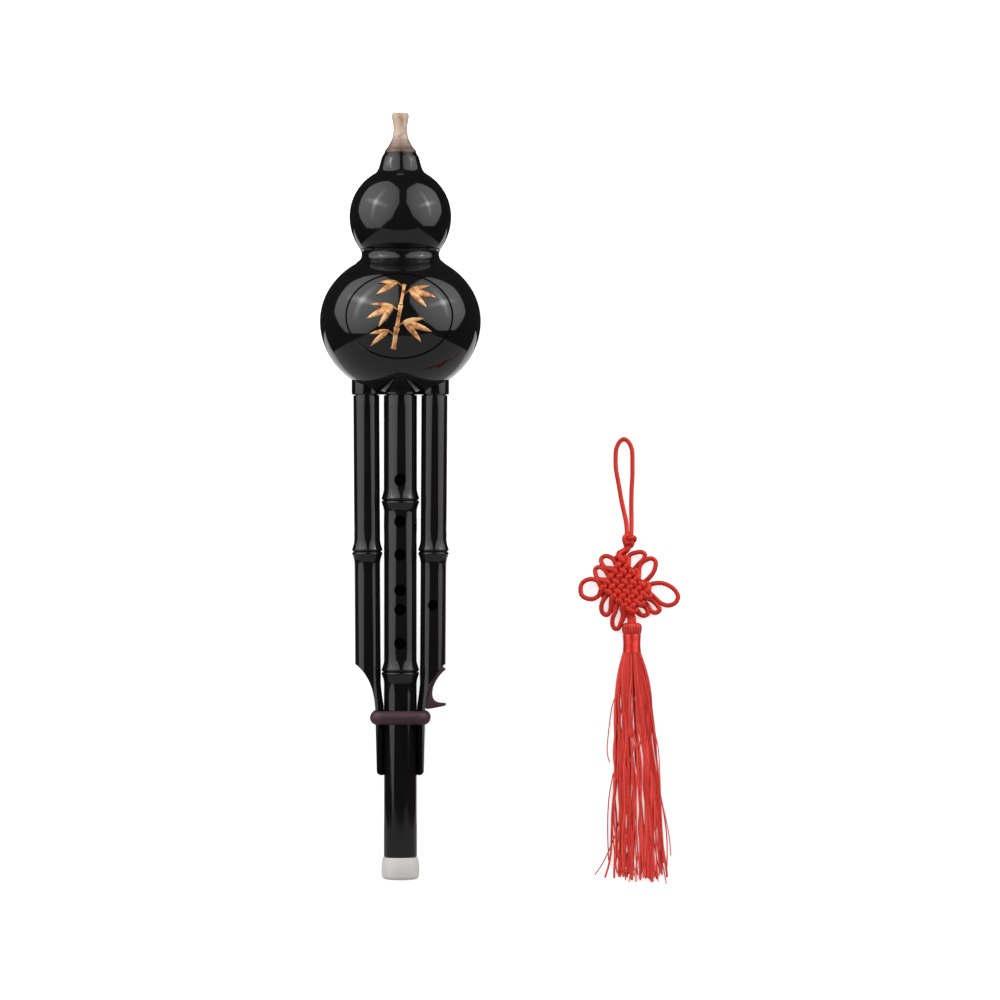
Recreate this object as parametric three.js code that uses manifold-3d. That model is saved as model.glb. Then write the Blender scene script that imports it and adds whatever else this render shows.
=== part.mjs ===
// A hulusi, the gourd flute with free reeds, lying face up, with its red knot tassel beside it.
// Millimetres, +Z up. In the flute's own group the axis is Y: the mouthpiece points to +Y and the
// finger holes to +Z. Heights there are measured from the widest circle of the lower bulb.
import * as THREE from "three";
import { mergeGeometries, mergeVertices } from "three/addons/utils/BufferGeometryUtils.js";
import Module from "manifold-3d";

const wasm = await Module();
wasm.setup();

// Clearances that every fit shares
const fitGap = 0.3; // between pieces that are pushed or glued together
const overrun = 1; // how far a cutter runs past what it cuts
const weldDistance = 1e-4;

// Gourd
const gourdWall = 3;
const lowerBulbRadius = 43.1;
const lowerBulbRise = 37;
const lowerBulbDrop = 39.4;
const upperBulbRadius = 27.25;
const upperBulbRise = 26.7;
const upperBulbDrop = 28.4;
const waistRadius = 20.8;
const waistStep = 0.85;
const waistCollar = 6.5;
const waistFillet = 1.5; // how far out the shoulder begins to turn up into the waist
const waistFlare = 2.2; // how far below its upper edge the waist begins to flare
const spigotRadius = 17.4;
const spigotWall = 2;
const spigotLength = 7;
const neckFootRadius = 12.4;
const neckRadius = 10.6;
const neckTopRadius = 8.85;
const neckLength = 10.3;
const neckFillet = 1.2;

// Oval groove and the golden sprig in it
const grooveHalfWidth = 28.2;
const grooveHalfHeight = 22.5;
const grooveWidth = 0.9;
const grooveDepth = 0.7;
const grooveCentre = 1.6;
const sprigHeight = 36;
const sprigStalkWidth = 2.6;
const sprigTwigWidth = 1.1;
const sprigLeafLength = 15.5;
const sprigLeafWidth = 4.2;
const sprigThickness = 0.35;
const sprigLift = 0.3;

// Mouthpiece
const mouthpieceLength = 21.2;
const mouthpieceBaseRadius = 8.6;
const mouthpieceThroatRadius = 3.75;
const mouthpieceLipRadius = 4.9;
const mouthpieceBore = 1.7;
const mouthpieceTenonRadius = 6.5;
const mouthpieceTenonLength = 10.5;

// Pipes; distances along them are measured down from the face of the seat
const mainPipeRadius = 8.87;
const mainPipeBore = 5.7;
const mainPipeLength = 247.6;
const mainPipeInside = 63;
const mainTenonRadius = 7.6;
const droneSpacing = 18.25;
const droneRadius = 6.95;
const droneBore = 4.8;
const droneLength = 204;
const droneInside = 50;
const droneTenonRadius = 5.9;
const lipRise = 1.24;
const lipHalfSpan = 1.25;
const lipGroove = 0.8;
const lipFlare = 5.2;
const mainUpperJoint = 56.7;
const mainLowerJoint = 148.5;
const droneJoint = 84.2;

// Holes
const fingerHoleRadius = 3;
const fingerHoleBevel = 0.45;
const fingerHoles = [45.8, 68.1, 85.8, 104.8, 115.2, 133.2];
const thumbHole = 33;
const soundHoleRadius = 2.4;
const soundHoles = [190, 214];
const droneHoleRadius = 2.6;
const droneHole = 112.8;

// Cut-away lower end of each drone, across the pipe from its axis, positive outwards
const cutStart = 144.2;
const cutKnee = 151.5;
const cutEnd = 170;
const cutKneeReach = -3.6;
const tongueFace = -3.9;
const tongueTip = -4.3;
const tongueRounding = 2.2;

// Seat of the three pipes
const seatLength = 15;
const mainBossWall = 2.05;
const droneBossWall = 1.9;
const seatWebThickness = 8;

// Reeds, plugs and seals inside the gourd
const reedThickness = 0.4;
const reedMargin = 3;
const reedWindowLength = 20;
const reedFromEnd = 9;
const reedLift = 0.1;
const reedSlit = 0.3;
const mainReedWidth = 7.2;
const mainReedWindow = 4.6;
const mainReedFlat = 1.4;
const droneReedWidth = 4.8;
const droneReedWindow = 3;
const droneReedFlat = 1.1;
const plugHead = 2;
const plugSpigot = 5;
const sealWidth = 2;
const sealDepth = 1;
const sealFromFace = 5;
const sealGap = 0.15;

// Drone stopper, binding ring and end cap
const stopperWidth = 11;
const stopperTop = 146.6;
const stopperFoot = 168.4;
const stopperReach = 7;
const stopperUpperHorn = 1;
const stopperLowerHorn = 2.6;
const stopperHollow = 3;
const ringThickness = 2.6;
const ringHeight = 7.8;
const ringCentre = 173;
const ringCorner = 4.4;
const ringRounding = 1.1;
const capRadius = 10.15;
const capTopRadius = 9.4;
const capLength = 11.9;
const capRounding = 2.6;
const capSpigotLength = 9;

// Tassel, in its own group: the origin is on the floor under the middle of the knot
const tasselAside = 121.2;
const tasselBelow = 139.8;
const cordRadius = 1.06;
const weaveRise = 1.02;
const weaveFlat = 0.98; // half the level stretch of a cord where it crosses another
const weaveGap = 0.1;
const earDroop = 1.6;
const buttonRadius = 4;
const buttonHeight = 25.6;
const buttonAside = 2;
const tasselAxis = 3.3;
const capDomeRadius = 5.45;
const capDomeTop = -19.2;
const capDomeLength = 6.2;
const bandRadius = 4.95;
const bandLength = 10;
const skirtLength = 123;
const skirtHalfWidth = 15.6;
const skirtBacking = 1.6;
const skirtLayerPitch = 1.9;
const skirtTopPitch = 2.2;
const skirtDrift = 2;

// Counts of sides and steps
const bulbSides = 28;
const bulbSteps = 14;
const pipeSides = 16;
const smallSides = 12;
const ovalSegments = 16;
const cordSides = 6;
const loopSides = 8;

const black = { color: 0x0c0b0c, roughness: 0.08, metalness: 0 };
const resin = { color: 0xcdb49c, roughness: 0.25, metalness: 0 };
const gold = { color: 0xd89a5c, roughness: 0.35, metalness: 0.6 };
const brass = { color: 0xb98d3e, roughness: 0.3, metalness: 1 };
const maroon = { color: 0x4a3139, roughness: 0.6, metalness: 0 };
const white = { color: 0xcfcac6, roughness: 0.4, metalness: 0 };
const cork = { color: 0x8f6a44, roughness: 0.8, metalness: 0 };
const red = { color: 0xc62018, roughness: 0.55, metalness: 0 };

const solidOf = (geometry) => {
  const bare = geometry.clone();
  bare.deleteAttribute("normal");
  bare.deleteAttribute("uv");
  const merged = mergeVertices(bare, weldDistance);
  return new wasm.Manifold(
    new wasm.Mesh({
      numProp: 3,
      vertProperties: merged.attributes.position.array,
      triVerts: Uint32Array.from(merged.index.array),
    }),
  );
};

const geometryOf = (solid) => {
  const { vertProperties, triVerts } = solid.getMesh();
  const geometry = new THREE.BufferGeometry();
  geometry.setAttribute("position", new THREE.BufferAttribute(vertProperties, 3));
  geometry.setIndex(new THREE.BufferAttribute(triVerts, 1));
  geometry.computeVertexNormals();
  return geometry;
};

const join = (solids) => solids.reduce((whole, solid) => whole.add(solid));
const cut = (solid, cutters) => cutters.reduce((rest, cutter) => rest.subtract(cutter), solid);

// A solid turned round Y from an outline of [radius, height] pairs, up its outside and down its inside
const turned = (outline, sides) =>
  solidOf(new THREE.LatheGeometry(outline.map(([r, y]) => new THREE.Vector2(r, y)), sides));
const closed = (outline) => [...outline, outline[0]];

// Outline points on a soft bend from one point to another, pulled towards a corner
const bend = (from, corner, to, steps) =>
  new THREE.QuadraticBezierCurve(...[from, corner, to].map(([r, y]) => new THREE.Vector2(r, y)))
    .getPoints(steps)
    .map((point) => [point.x, point.y]);

// A plate extruded along Z between two heights
const plate = (shape, low, high, curveSegments = ovalSegments) =>
  solidOf(
    new THREE.ExtrudeGeometry(shape, { depth: high - low, bevelEnabled: false, curveSegments })
      .translate(0, 0, low),
  );

const block = (width, length, depth, x, y, z) =>
  solidOf(new THREE.BoxGeometry(width, length, depth).translate(x, y, z));

const rod = (radius, low, high, x, sides) =>
  solidOf(new THREE.CylinderGeometry(radius, radius, high - low, sides).translate(x, (low + high) / 2, 0));

const part = (name, solid, look) => {
  const mesh = new THREE.Mesh(geometryOf(solid), new THREE.MeshStandardMaterial(look));
  mesh.name = name;
  return mesh;
};

// Bulbs: half an ellipse above the widest circle and half another below it
const riseAt = (bulb, radius) => bulb.rise * Math.sqrt(1 - (radius / bulb.radius) ** 2);
const dropAt = (bulb, radius) => bulb.drop * Math.sqrt(1 - (radius / bulb.radius) ** 2);

function bulbArc(bulb, footRadius, topRadius, steps) {
  const from = -Math.acos(footRadius / bulb.radius);
  const to = Math.acos(topRadius / bulb.radius);
  return Array.from({ length: steps + 1 }, (_, i) => {
    const angle = from + ((to - from) * i) / steps;
    const reach = angle < 0 ? bulb.drop : bulb.rise;
    return [bulb.radius * Math.cos(angle), bulb.centre + reach * Math.sin(angle)];
  });
}

const grown = (bulb, by) => ({
  radius: bulb.radius + by,
  rise: bulb.rise + by,
  drop: bulb.drop + by,
  centre: bulb.centre,
});

const lowerBulb = { radius: lowerBulbRadius, rise: lowerBulbRise, drop: lowerBulbDrop, centre: 0 };
const collarFoot = riseAt(lowerBulb, waistRadius + waistStep);
const collarTop = collarFoot + waistCollar;
const upperFoot = collarTop + fitGap;
const upperBulb = { radius: upperBulbRadius, rise: upperBulbRise, drop: upperBulbDrop, centre: 0 };
upperBulb.centre = upperFoot + dropAt(upperBulb, waistRadius + waistStep);
const neckFoot = upperBulb.centre + riseAt(upperBulb, neckFootRadius);
const neckTop = neckFoot + neckLength;
const seatFace = -lowerBulbDrop;
const seatTop = seatFace + seatLength;

// Local x of a drone's axis, and its lean: it meets the lower joint of the main pipe
const mainLipRadius = mainPipeRadius + lipRise;
const droneLean = Math.atan((droneSpacing - droneRadius - mainLipRadius - fitGap) / mainLowerJoint);

// The waist turns up out of the lower bulb's shoulder and flares to meet the upper bulb
const shoulderRadius = waistRadius + waistFillet;

function waistOutline() {
  const shoulder = [shoulderRadius, riseAt(lowerBulb, shoulderRadius)];
  const corner = [waistRadius, riseAt(lowerBulb, waistRadius)];
  const flare = [waistRadius, collarTop - waistFlare];
  return [
    ...bend(shoulder, corner, [waistRadius, corner[1] + waistFillet], 3),
    ...bend(flare, [waistRadius, collarTop - waistFlare / 2], [waistRadius + waistStep, collarTop], 3),
  ];
}

function lowerGourdOutline() {
  const inside = grown(lowerBulb, -gourdWall);
  const collarBore = spigotRadius + fitGap;
  return [
    ...bulbArc(lowerBulb, 0, shoulderRadius, bulbSteps).slice(0, -1),
    ...waistOutline(),
    [collarBore, collarTop],
    ...bulbArc(inside, 0, collarBore, 6).reverse(),
  ];
}

// The lower bulb as a plain body, larger or smaller all round
function lowerBulbSkin(grow) {
  const arc = bulbArc(grown(lowerBulb, grow), 0, shoulderRadius, bulbSteps);
  return turned([...arc, [0, arc.at(-1)[1]]], bulbSides);
}

function seatOutlineSolid(low, high, gap) {
  const boss = (radius, x) => rod(radius + gap, low, high, x, pipeSides);
  const mainBoss = mainTenonRadius + mainBossWall;
  const droneBoss = droneTenonRadius + droneBossWall;
  const middle = (low + high) / 2;
  const web = block(2 * droneSpacing, high - low, seatWebThickness + 2 * gap, 0, middle, 0);
  return join([web, boss(mainBoss, 0), boss(droneBoss, -droneSpacing), boss(droneBoss, droneSpacing)]);
}

function lowerGourd() {
  const oval = (grow) => [grooveHalfWidth + grow, grooveHalfHeight + grow];
  const ring = new THREE.Shape().absellipse(0, grooveCentre, ...oval(grooveWidth / 2), 0, 2 * Math.PI);
  ring.holes.push(new THREE.Path().absellipse(0, grooveCentre, ...oval(-grooveWidth / 2), 0, 2 * Math.PI));
  const core = lowerBulbSkin(-grooveDepth);
  const groove = plate(ring, 0, lowerBulbRadius + overrun).subtract(core);
  const slot = seatOutlineSolid(seatFace - overrun, seatTop, fitGap);
  return cut(turned(lowerGourdOutline(), bulbSides), [groove, slot]);
}

function upperGourd() {
  const inside = grown(upperBulb, -gourdWall);
  const spigotBore = spigotRadius - spigotWall;
  const neckBore = mouthpieceTenonRadius + fitGap;
  return turned(
    closed([
      [spigotBore, upperFoot - spigotLength],
      [spigotRadius, upperFoot - spigotLength],
      [spigotRadius, upperFoot],
      ...bulbArc(upperBulb, waistRadius + waistStep, neckFootRadius, 11),
      ...bend(
        [neckFootRadius - neckFillet * 0.7, neckFoot + neckFillet * 1.4],
        [neckRadius, (neckFoot + neckTop) / 2],
        [neckTopRadius, neckTop],
        4,
      ),
      [neckBore, neckTop],
      ...bulbArc(inside, spigotBore, neckBore, 5).reverse(),
    ]),
    bulbSides,
  );
}

// Leaves as [place along the stalk, side, turn in degrees, size share]; the stalk leans a little
const leafShares = [
  [0.2, -1, -36, 0.8],
  [0.2, -1, -4, 0.65],
  [0.33, 1, -46, 0.9],
  [0.33, 1, -16, 1],
  [0.33, 1, 14, 0.7],
  [0.56, -1, -52, 0.85],
  [0.56, -1, -22, 1],
  [0.56, -1, 10, 0.75],
  [0.8, 1, -42, 0.85],
  [0.8, 1, -12, 0.95],
  [0.8, 1, 18, 0.7],
  [0.92, -1, -28, 0.85],
  [0.92, -1, 4, 0.65],
];
const stalkLean = 0.17;
const twigReachShare = 0.13;

function leafShape(length, width) {
  const bulge = width / 2;
  const belly = length * 0.35;
  const leaf = new THREE.Shape();
  leaf.moveTo(-width / 4, 0);
  leaf.bezierCurveTo(belly / 2, bulge * 1.3, belly * 1.6, bulge, length, 0);
  leaf.bezierCurveTo(belly * 1.6, -bulge, belly / 2, -bulge * 1.3, -width / 4, 0);
  return leaf;
}

function emblemSprig() {
  const foot = grooveCentre - sprigHeight / 2;
  const high = lowerBulbRadius + overrun;
  const slab = (shape, angle, x, y) =>
    solidOf(
      new THREE.ExtrudeGeometry(shape, { depth: high, bevelEnabled: false, curveSegments: 4 })
        .rotateZ(angle)
        .translate(x, y, 0),
    );
  const stalkX = (share) => sprigHeight * stalkLean * (share - 0.5);
  const bar = (length, width) => new THREE.Shape([
    new THREE.Vector2(0, -width / 2),
    new THREE.Vector2(length, -width / 2),
    new THREE.Vector2(length, width / 2),
    new THREE.Vector2(0, width / 2),
  ]);
  const stalkAngle = Math.PI / 2 - Math.atan(stalkLean);
  const joints = [0, 0.33, 0.66, 0.97];
  const pieces = joints.slice(1).map((share, i) => {
    const from = joints[i];
    const width = sprigStalkWidth * (1 - from / 2);
    const length = (share - from) * sprigHeight * Math.hypot(1, stalkLean) + width / 4;
    return slab(bar(length, width), stalkAngle, stalkX(from), foot + from * sprigHeight);
  });
  joints.slice(1, 3).forEach((share) => {
    const knob = new THREE.Shape().absellipse(0, 0, sprigStalkWidth / 3, sprigStalkWidth * 0.65, 0, 2 * Math.PI);
    pieces.push(slab(knob, stalkAngle, stalkX(share), foot + share * sprigHeight));
  });
  leafShares.forEach(([share, side, turn, size]) => {
    const reach = sprigHeight * twigReachShare;
    const angle = side > 0 ? THREE.MathUtils.degToRad(turn) : Math.PI - THREE.MathUtils.degToRad(turn);
    const x = stalkX(share);
    const y = foot + share * sprigHeight;
    const tipX = x + side * reach * 0.8;
    const tipY = y + reach * 0.6;
    const twigAngle = Math.atan2(tipY - y, tipX - x);
    pieces.push(slab(bar(reach, sprigTwigWidth), twigAngle, x, y));
    pieces.push(slab(leafShape(sprigLeafLength * size, sprigLeafWidth * size), angle, tipX, tipY));
  });
  return join(pieces).intersect(lowerBulbSkin(sprigLift + sprigThickness)).subtract(lowerBulbSkin(sprigLift));
}

function mouthpiece() {
  const foot = neckTop + fitGap;
  const at = (radius, share) => new THREE.Vector2(radius, foot + mouthpieceLength * share);
  const lipEdge = mouthpieceLipRadius * 0.9;
  const side = new THREE.SplineCurve([
    at(mouthpieceBaseRadius, 0),
    at(THREE.MathUtils.lerp(mouthpieceThroatRadius, mouthpieceBaseRadius, 0.9), 0.06),
    at(THREE.MathUtils.lerp(mouthpieceThroatRadius, mouthpieceBaseRadius, 0.42), 0.215),
    at(THREE.MathUtils.lerp(mouthpieceThroatRadius, mouthpieceBaseRadius, 0.1), 0.37),
    at(mouthpieceThroatRadius, 0.6),
    at(THREE.MathUtils.lerp(mouthpieceThroatRadius, mouthpieceLipRadius, 0.85), 0.78),
    at(mouthpieceLipRadius, 0.9),
    at(lipEdge, 0.985),
  ]).getPoints(10);
  return turned(
    closed([
      [mouthpieceBore, neckTop - mouthpieceTenonLength],
      [mouthpieceTenonRadius, neckTop - mouthpieceTenonLength],
      [mouthpieceTenonRadius, foot],
      ...side.map((point) => [point.x, point.y]),
      [mouthpieceLipRadius * 0.75, foot + mouthpieceLength],
      [mouthpieceBore, foot + mouthpieceLength],
    ]),
    pipeSides,
  );
}

function pipeSeat() {
  const main = rod(mainTenonRadius + fitGap, seatFace - overrun, seatTop + overrun, 0, pipeSides);
  const drones = [-1, 1].map((side) =>
    rod(droneTenonRadius + fitGap, seatFace - overrun, seatTop + overrun, side * droneSpacing, pipeSides),
  );
  return cut(seatOutlineSolid(seatFace, seatTop, 0), [main, ...drones]);
}

// Outline points of a turned bamboo joint, from below it to above it
function jointOutline(height, radius) {
  const lip = radius + lipRise;
  const flare = [1, 0.6, 0.25].map((share) => [
    radius + lipRise * (1 - share) ** 2,
    lipHalfSpan + lipFlare * share,
  ]);
  const below = flare.map(([r, reach]) => [r, height - reach]);
  const above = flare.map(([r, reach]) => [r, height + reach]).reverse();
  return [
    ...below,
    [lip, height - lipHalfSpan],
    [lip, height - lipHalfSpan / 3],
    [lip - lipGroove, height],
    [lip, height + lipHalfSpan / 3],
    [lip, height + lipHalfSpan],
    ...above,
  ];
}

// A pipe with a shoulder under the seat, a tenon through it and a groove for its sealing ring
function pipeBody({ radius, bore, tenon, length, inside, joints }) {
  const shoulder = seatFace - fitGap;
  const sealLow = seatFace + sealFromFace;
  const sealHigh = sealLow + sealWidth + 2 * fitGap;
  const end = seatFace - length;
  return turned(
    closed([
      [bore, end],
      [radius, end],
      ...joints.flatMap((distance) => jointOutline(seatFace - distance, radius)),
      [radius, shoulder],
      [tenon, shoulder],
      [tenon, sealLow],
      [tenon - sealDepth, sealLow],
      [tenon - sealDepth, sealHigh],
      [tenon, sealHigh],
      [tenon, seatFace + inside],
      [bore, seatFace + inside],
    ]),
    pipeSides,
  );
}

// A flat with a window for the reed plate, on the face of a tenon near its upper end
function reedSeatCutters(tenon, inside, flat, windowWidth, x) {
  const top = seatFace + inside - reedFromEnd;
  const middle = top - reedWindowLength / 2 - reedMargin;
  const length = reedWindowLength + 2 * reedMargin + 2 * fitGap;
  return [
    block(2 * tenon, length, 2 * flat, x, middle, tenon),
    block(windowWidth, reedWindowLength, tenon + overrun, x, middle, (tenon + overrun) / 2),
  ];
}

function reed(tenon, inside, flat, width, windowWidth, x) {
  const top = seatFace + inside - reedFromEnd;
  const middle = top - reedWindowLength / 2 - reedMargin;
  const length = reedWindowLength + 2 * reedMargin;
  const low = tenon - flat + reedLift;
  const sheet = block(width, length, reedThickness, x, middle, low + reedThickness / 2);
  const half = windowWidth / 2 - reedSlit;
  const root = middle - reedWindowLength / 2 + reedMargin / 2;
  const tip = middle + reedWindowLength / 2 - reedSlit;
  const outer = [[-half - reedSlit, root], [0, tip + 3 * reedSlit], [half + reedSlit, root]];
  const inner = [[half, root], [0, tip - 3 * reedSlit], [-half, root]];
  const slit = new THREE.Shape([...outer, ...inner].map(([u, v]) => new THREE.Vector2(x + u, v)));
  return sheet.subtract(plate(slit, low - overrun, low + overrun));
}

// The hole's wall, and the rounded edge that it opens into at the pipe's skin
function holeCutter(radius, pipeRadius, distance, x, side) {
  const bevelFoot = pipeRadius - 2 * fingerHoleBevel;
  const outline = [
    [0, 0],
    [radius, 0],
    [radius, bevelFoot],
    [radius + fingerHoleBevel, pipeRadius],
    [radius + fingerHoleBevel, pipeRadius + overrun],
    [0, pipeRadius + overrun],
  ];
  const geometry = new THREE.LatheGeometry(outline.map(([r, y]) => new THREE.Vector2(r, y)), smallSides)
    .rotateX((side * Math.PI) / 2)
    .translate(x, seatFace - distance, 0);
  return solidOf(geometry);
}

function mainPipe() {
  const body = pipeBody({
    radius: mainPipeRadius,
    bore: mainPipeBore,
    tenon: mainTenonRadius,
    length: mainPipeLength,
    inside: mainPipeInside,
    joints: [mainLowerJoint, mainUpperJoint],
  });
  return cut(body, [
    ...fingerHoles.map((distance) => holeCutter(fingerHoleRadius, mainPipeRadius, distance, 0, 1)),
    holeCutter(fingerHoleRadius, mainPipeRadius, thumbHole, 0, -1),
    ...soundHoles.map((distance) => holeCutter(soundHoleRadius, mainPipeRadius, distance, 0, -1)),
    ...reedSeatCutters(mainTenonRadius, mainPipeInside, mainReedFlat, mainReedWindow, 0),
  ]);
}

// The curve of a drone's cut face, moved outwards by a gap; u is across the pipe, v down from the seat
function cutCurve(gap) {
  return new THREE.QuadraticBezierCurve(
    new THREE.Vector2(droneRadius + gap, cutStart),
    new THREE.Vector2(cutKneeReach + gap, cutKnee),
    new THREE.Vector2(tongueFace + gap, cutEnd),
  );
}

const droneBody = () =>
  pipeBody({
    radius: droneRadius,
    bore: droneBore,
    tenon: droneTenonRadius,
    length: droneLength,
    inside: droneInside,
    joints: [droneJoint],
  });

// Everything outside the cut face, mirrored for the drone on the left
function droneEndCutter(side) {
  const far = droneRadius + overrun;
  const outline = [
    [far, cutStart],
    ...cutCurve(0).getPoints(10).map((point) => [point.x, point.y]),
    [tongueTip, droneLength - tongueRounding],
    [tongueTip - tongueRounding / 3, droneLength - tongueRounding / 3],
    [tongueTip - tongueRounding, droneLength],
    [tongueTip - tongueRounding, droneLength + overrun],
    [far, droneLength + overrun],
  ];
  const shape = new THREE.Shape(outline.map(([u, v]) => new THREE.Vector2(side * u, seatFace - v)));
  return plate(shape, -far, far);
}

function dronePipe(side) {
  const sounding = side > 0;
  const cutters = [droneEndCutter(side)];
  if (sounding) {
    cutters.push(holeCutter(droneHoleRadius, droneRadius, droneHole, 0, 1));
    cutters.push(...reedSeatCutters(droneTenonRadius, droneInside, droneReedFlat, droneReedWindow, 0));
  }
  return cut(droneBody(), cutters);
}

function pipePlug(bore, tenon, inside) {
  const end = seatFace + inside;
  return turned(
    [
      [0, end - plugSpigot],
      [bore - fitGap, end - plugSpigot],
      [bore - fitGap, end + fitGap],
      [tenon, end + fitGap],
      [tenon, end + fitGap + plugHead],
      [0, end + fitGap + plugHead],
    ],
    smallSides,
  );
}

function pipeSeal(tenon) {
  const low = seatFace + sealFromFace + fitGap;
  const inner = tenon - sealDepth + fitGap;
  const outer = tenon + fitGap - sealGap;
  return turned(
    closed([
      [inner, low],
      [outer, low],
      [outer, low + sealWidth],
      [inner, low + sealWidth],
    ]),
    smallSides,
  );
}

// A rubber saddle against the drone's cut face; its two horns stand out round a finger-wide hollow
function droneStopper() {
  const face = cutCurve(fitGap).getPoints(16).filter((p) => p.y > stopperTop && p.y < stopperFoot);
  const shape = new THREE.Shape(face.map((p) => new THREE.Vector2(p.x, seatFace - p.y)));
  const foot = seatFace - stopperFoot;
  const top = seatFace - stopperTop;
  const middle = (foot + top) / 2;
  const bottom = face.at(-1).x + stopperHollow;
  shape.lineTo(face.at(-1).x, foot);
  shape.lineTo(bottom - stopperHollow / 2, foot);
  shape.quadraticCurveTo(bottom + stopperHollow, foot, stopperReach, foot + stopperLowerHorn);
  shape.quadraticCurveTo(bottom + stopperHollow, foot + stopperLowerHorn, bottom, foot + 2 * stopperLowerHorn);
  shape.quadraticCurveTo(bottom - stopperHollow / 2, middle, bottom + stopperHollow / 2, middle + stopperHollow);
  shape.quadraticCurveTo(bottom + stopperHollow, top - stopperHollow, stopperReach, top - stopperUpperHorn);
  return plate(shape, -stopperWidth / 2, stopperWidth / 2, 5);
}

function roundedBox(halfWidth, halfHeight, corner) {
  const shape = new THREE.Path();
  shape.absarc(halfWidth - corner, halfHeight - corner, corner, 0, Math.PI / 2);
  shape.absarc(corner - halfWidth, halfHeight - corner, corner, Math.PI / 2, Math.PI);
  shape.absarc(corner - halfWidth, corner - halfHeight, corner, Math.PI, 1.5 * Math.PI);
  shape.absarc(halfWidth - corner, corner - halfHeight, corner, 1.5 * Math.PI, 2 * Math.PI);
  return shape;
}

// The band hugs the main pipe and the tongues of both drones
function bindingRing() {
  const shift = ringCentre * Math.tan(droneLean);
  const halfWidth = droneSpacing - shift - tongueFace * -1 + fitGap;
  const halfHeight = mainPipeRadius + fitGap;
  const outside = roundedBox(halfWidth + ringThickness, halfHeight + ringThickness, ringCorner + ringThickness);
  const shape = new THREE.Shape(outside.getPoints(4));
  shape.holes.push(roundedBox(halfWidth, halfHeight, ringCorner));
  return solidOf(
    new THREE.ExtrudeGeometry(shape, {
      depth: ringHeight - 2 * ringRounding,
      bevelThickness: ringRounding,
      bevelSize: ringRounding,
      bevelOffset: -ringRounding,
      bevelSegments: 1,
      curveSegments: 4,
    })
      .translate(0, 0, ringRounding - ringHeight / 2)
      .rotateX(Math.PI / 2)
      .translate(0, seatFace - ringCentre, 0),
  );
}

const pipeEnd = seatFace - mainPipeLength;
const capFace = pipeEnd - fitGap - capLength;
const capCorner = Array.from({ length: 5 }, (_, i) => {
  const angle = (Math.PI / 8) * i;
  const middle = capRadius - capRounding;
  return [middle + capRounding * Math.sin(angle), capFace + capRounding * (1 - Math.cos(angle))];
});

function endCap() {
  const top = pipeEnd - fitGap;
  return turned(
    [
      [0, capFace],
      ...capCorner,
      [capRadius, capFace + capLength / 2],
      [(capRadius + capTopRadius) / 2, top - capLength / 8],
      [capTopRadius, top],
      [mainPipeBore - fitGap, top],
      [mainPipeBore - fitGap, top + capSpigotLength],
      [0, top + capSpigotLength],
    ],
    pipeSides,
  );
}

// Tassel
// A cord's route with a ring of its tube at every given point; a flat of each ring faces up
class Route extends THREE.CatmullRomCurve3 {
  getPointAt(share, target) {
    return this.getPoint(share, target);
  }
  getTangentAt(share, target) {
    return this.getTangent(share, target);
  }
  computeFrenetFrames(segments) {
    const up = new THREE.Vector3(0, 0, 1);
    const tangents = Array.from({ length: segments + 1 }, (_, i) => this.getTangent(i / segments));
    const normals = tangents.map((tangent) => up.clone().cross(tangent).normalize());
    const binormals = tangents.map((tangent, i) => tangent.clone().cross(normals[i]));
    return { tangents, normals, binormals };
  }
}

function cordTube(points, radius, sides) {
  const ring = Array.from({ length: sides }, (_, i) => {
    const angle = (2 * Math.PI * (i + 0.5)) / sides + Math.PI / 2;
    return new THREE.Vector2(radius * Math.cos(angle), radius * Math.sin(angle));
  });
  const route = new Route(points.map((point) => new THREE.Vector3(...point)), false, "centripetal");
  return solidOf(
    new THREE.ExtrudeGeometry(new THREE.Shape(ring), { steps: points.length - 1, extrudePath: route }),
  );
}

const knotCorners = { top: [-2.4, 18.1], right: [14, -2.4], foot: [2.4, -14.3], left: [-14.6, -0.5] };
const knotLines = 6;
const lineShare = (i) => (i + 0.5) / knotLines;
const backHeight = weaveRise + cordRadius;
const frontHeight = backHeight + 2 * weaveRise + 2 * cordRadius * Math.cos(Math.PI / cordSides) + weaveGap;

// A place in the knot's slanted square: down to the left by the first share, to the right by the second
function knotPlace(left, right) {
  return [0, 1].map((axis) => {
    const { top, right: east, foot, left: west } = knotCorners;
    const upper = THREE.MathUtils.lerp(top[axis], east[axis], right);
    const lower = THREE.MathUtils.lerp(west[axis], foot[axis], right);
    return THREE.MathUtils.lerp(upper, lower, left);
  });
}

// The loops that stand out round the knot, point by point along the cord
const frontEars = {
  first: [
    [[-6.8, 15.7], [-10.5, 17.3], [-12.8, 16.2], [-13.1, 14.3], [-11.3, 11.1]],
    [[-11.9, 10.2], [-14.2, 11.3], [-16.2, 10.3], [-16.3, 8.1], [-14.9, 4.9]],
  ],
  corner: [
    [-14.9, 3.3], [-17.6, 4.6], [-20.8, 4.3], [-23.5, 2.4], [-24.3, -0.8],
    [-23.5, -4.1], [-20.8, -5.8], [-17.6, -6.1], [-14.6, -4.4],
  ],
  second: [
    [[-12.2, -7.3], [-13.1, -10.5], [-12.4, -13.5], [-10.3, -14.7], [-8.6, -13.3], [-7.8, -10.5]],
    [[-5.9, -13.8], [-7, -17], [-7, -20.2], [-5.6, -22.2], [-3.9, -21.9], [-2.7, -19.5], [-1.2, -15.7]],
  ],
};
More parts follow.
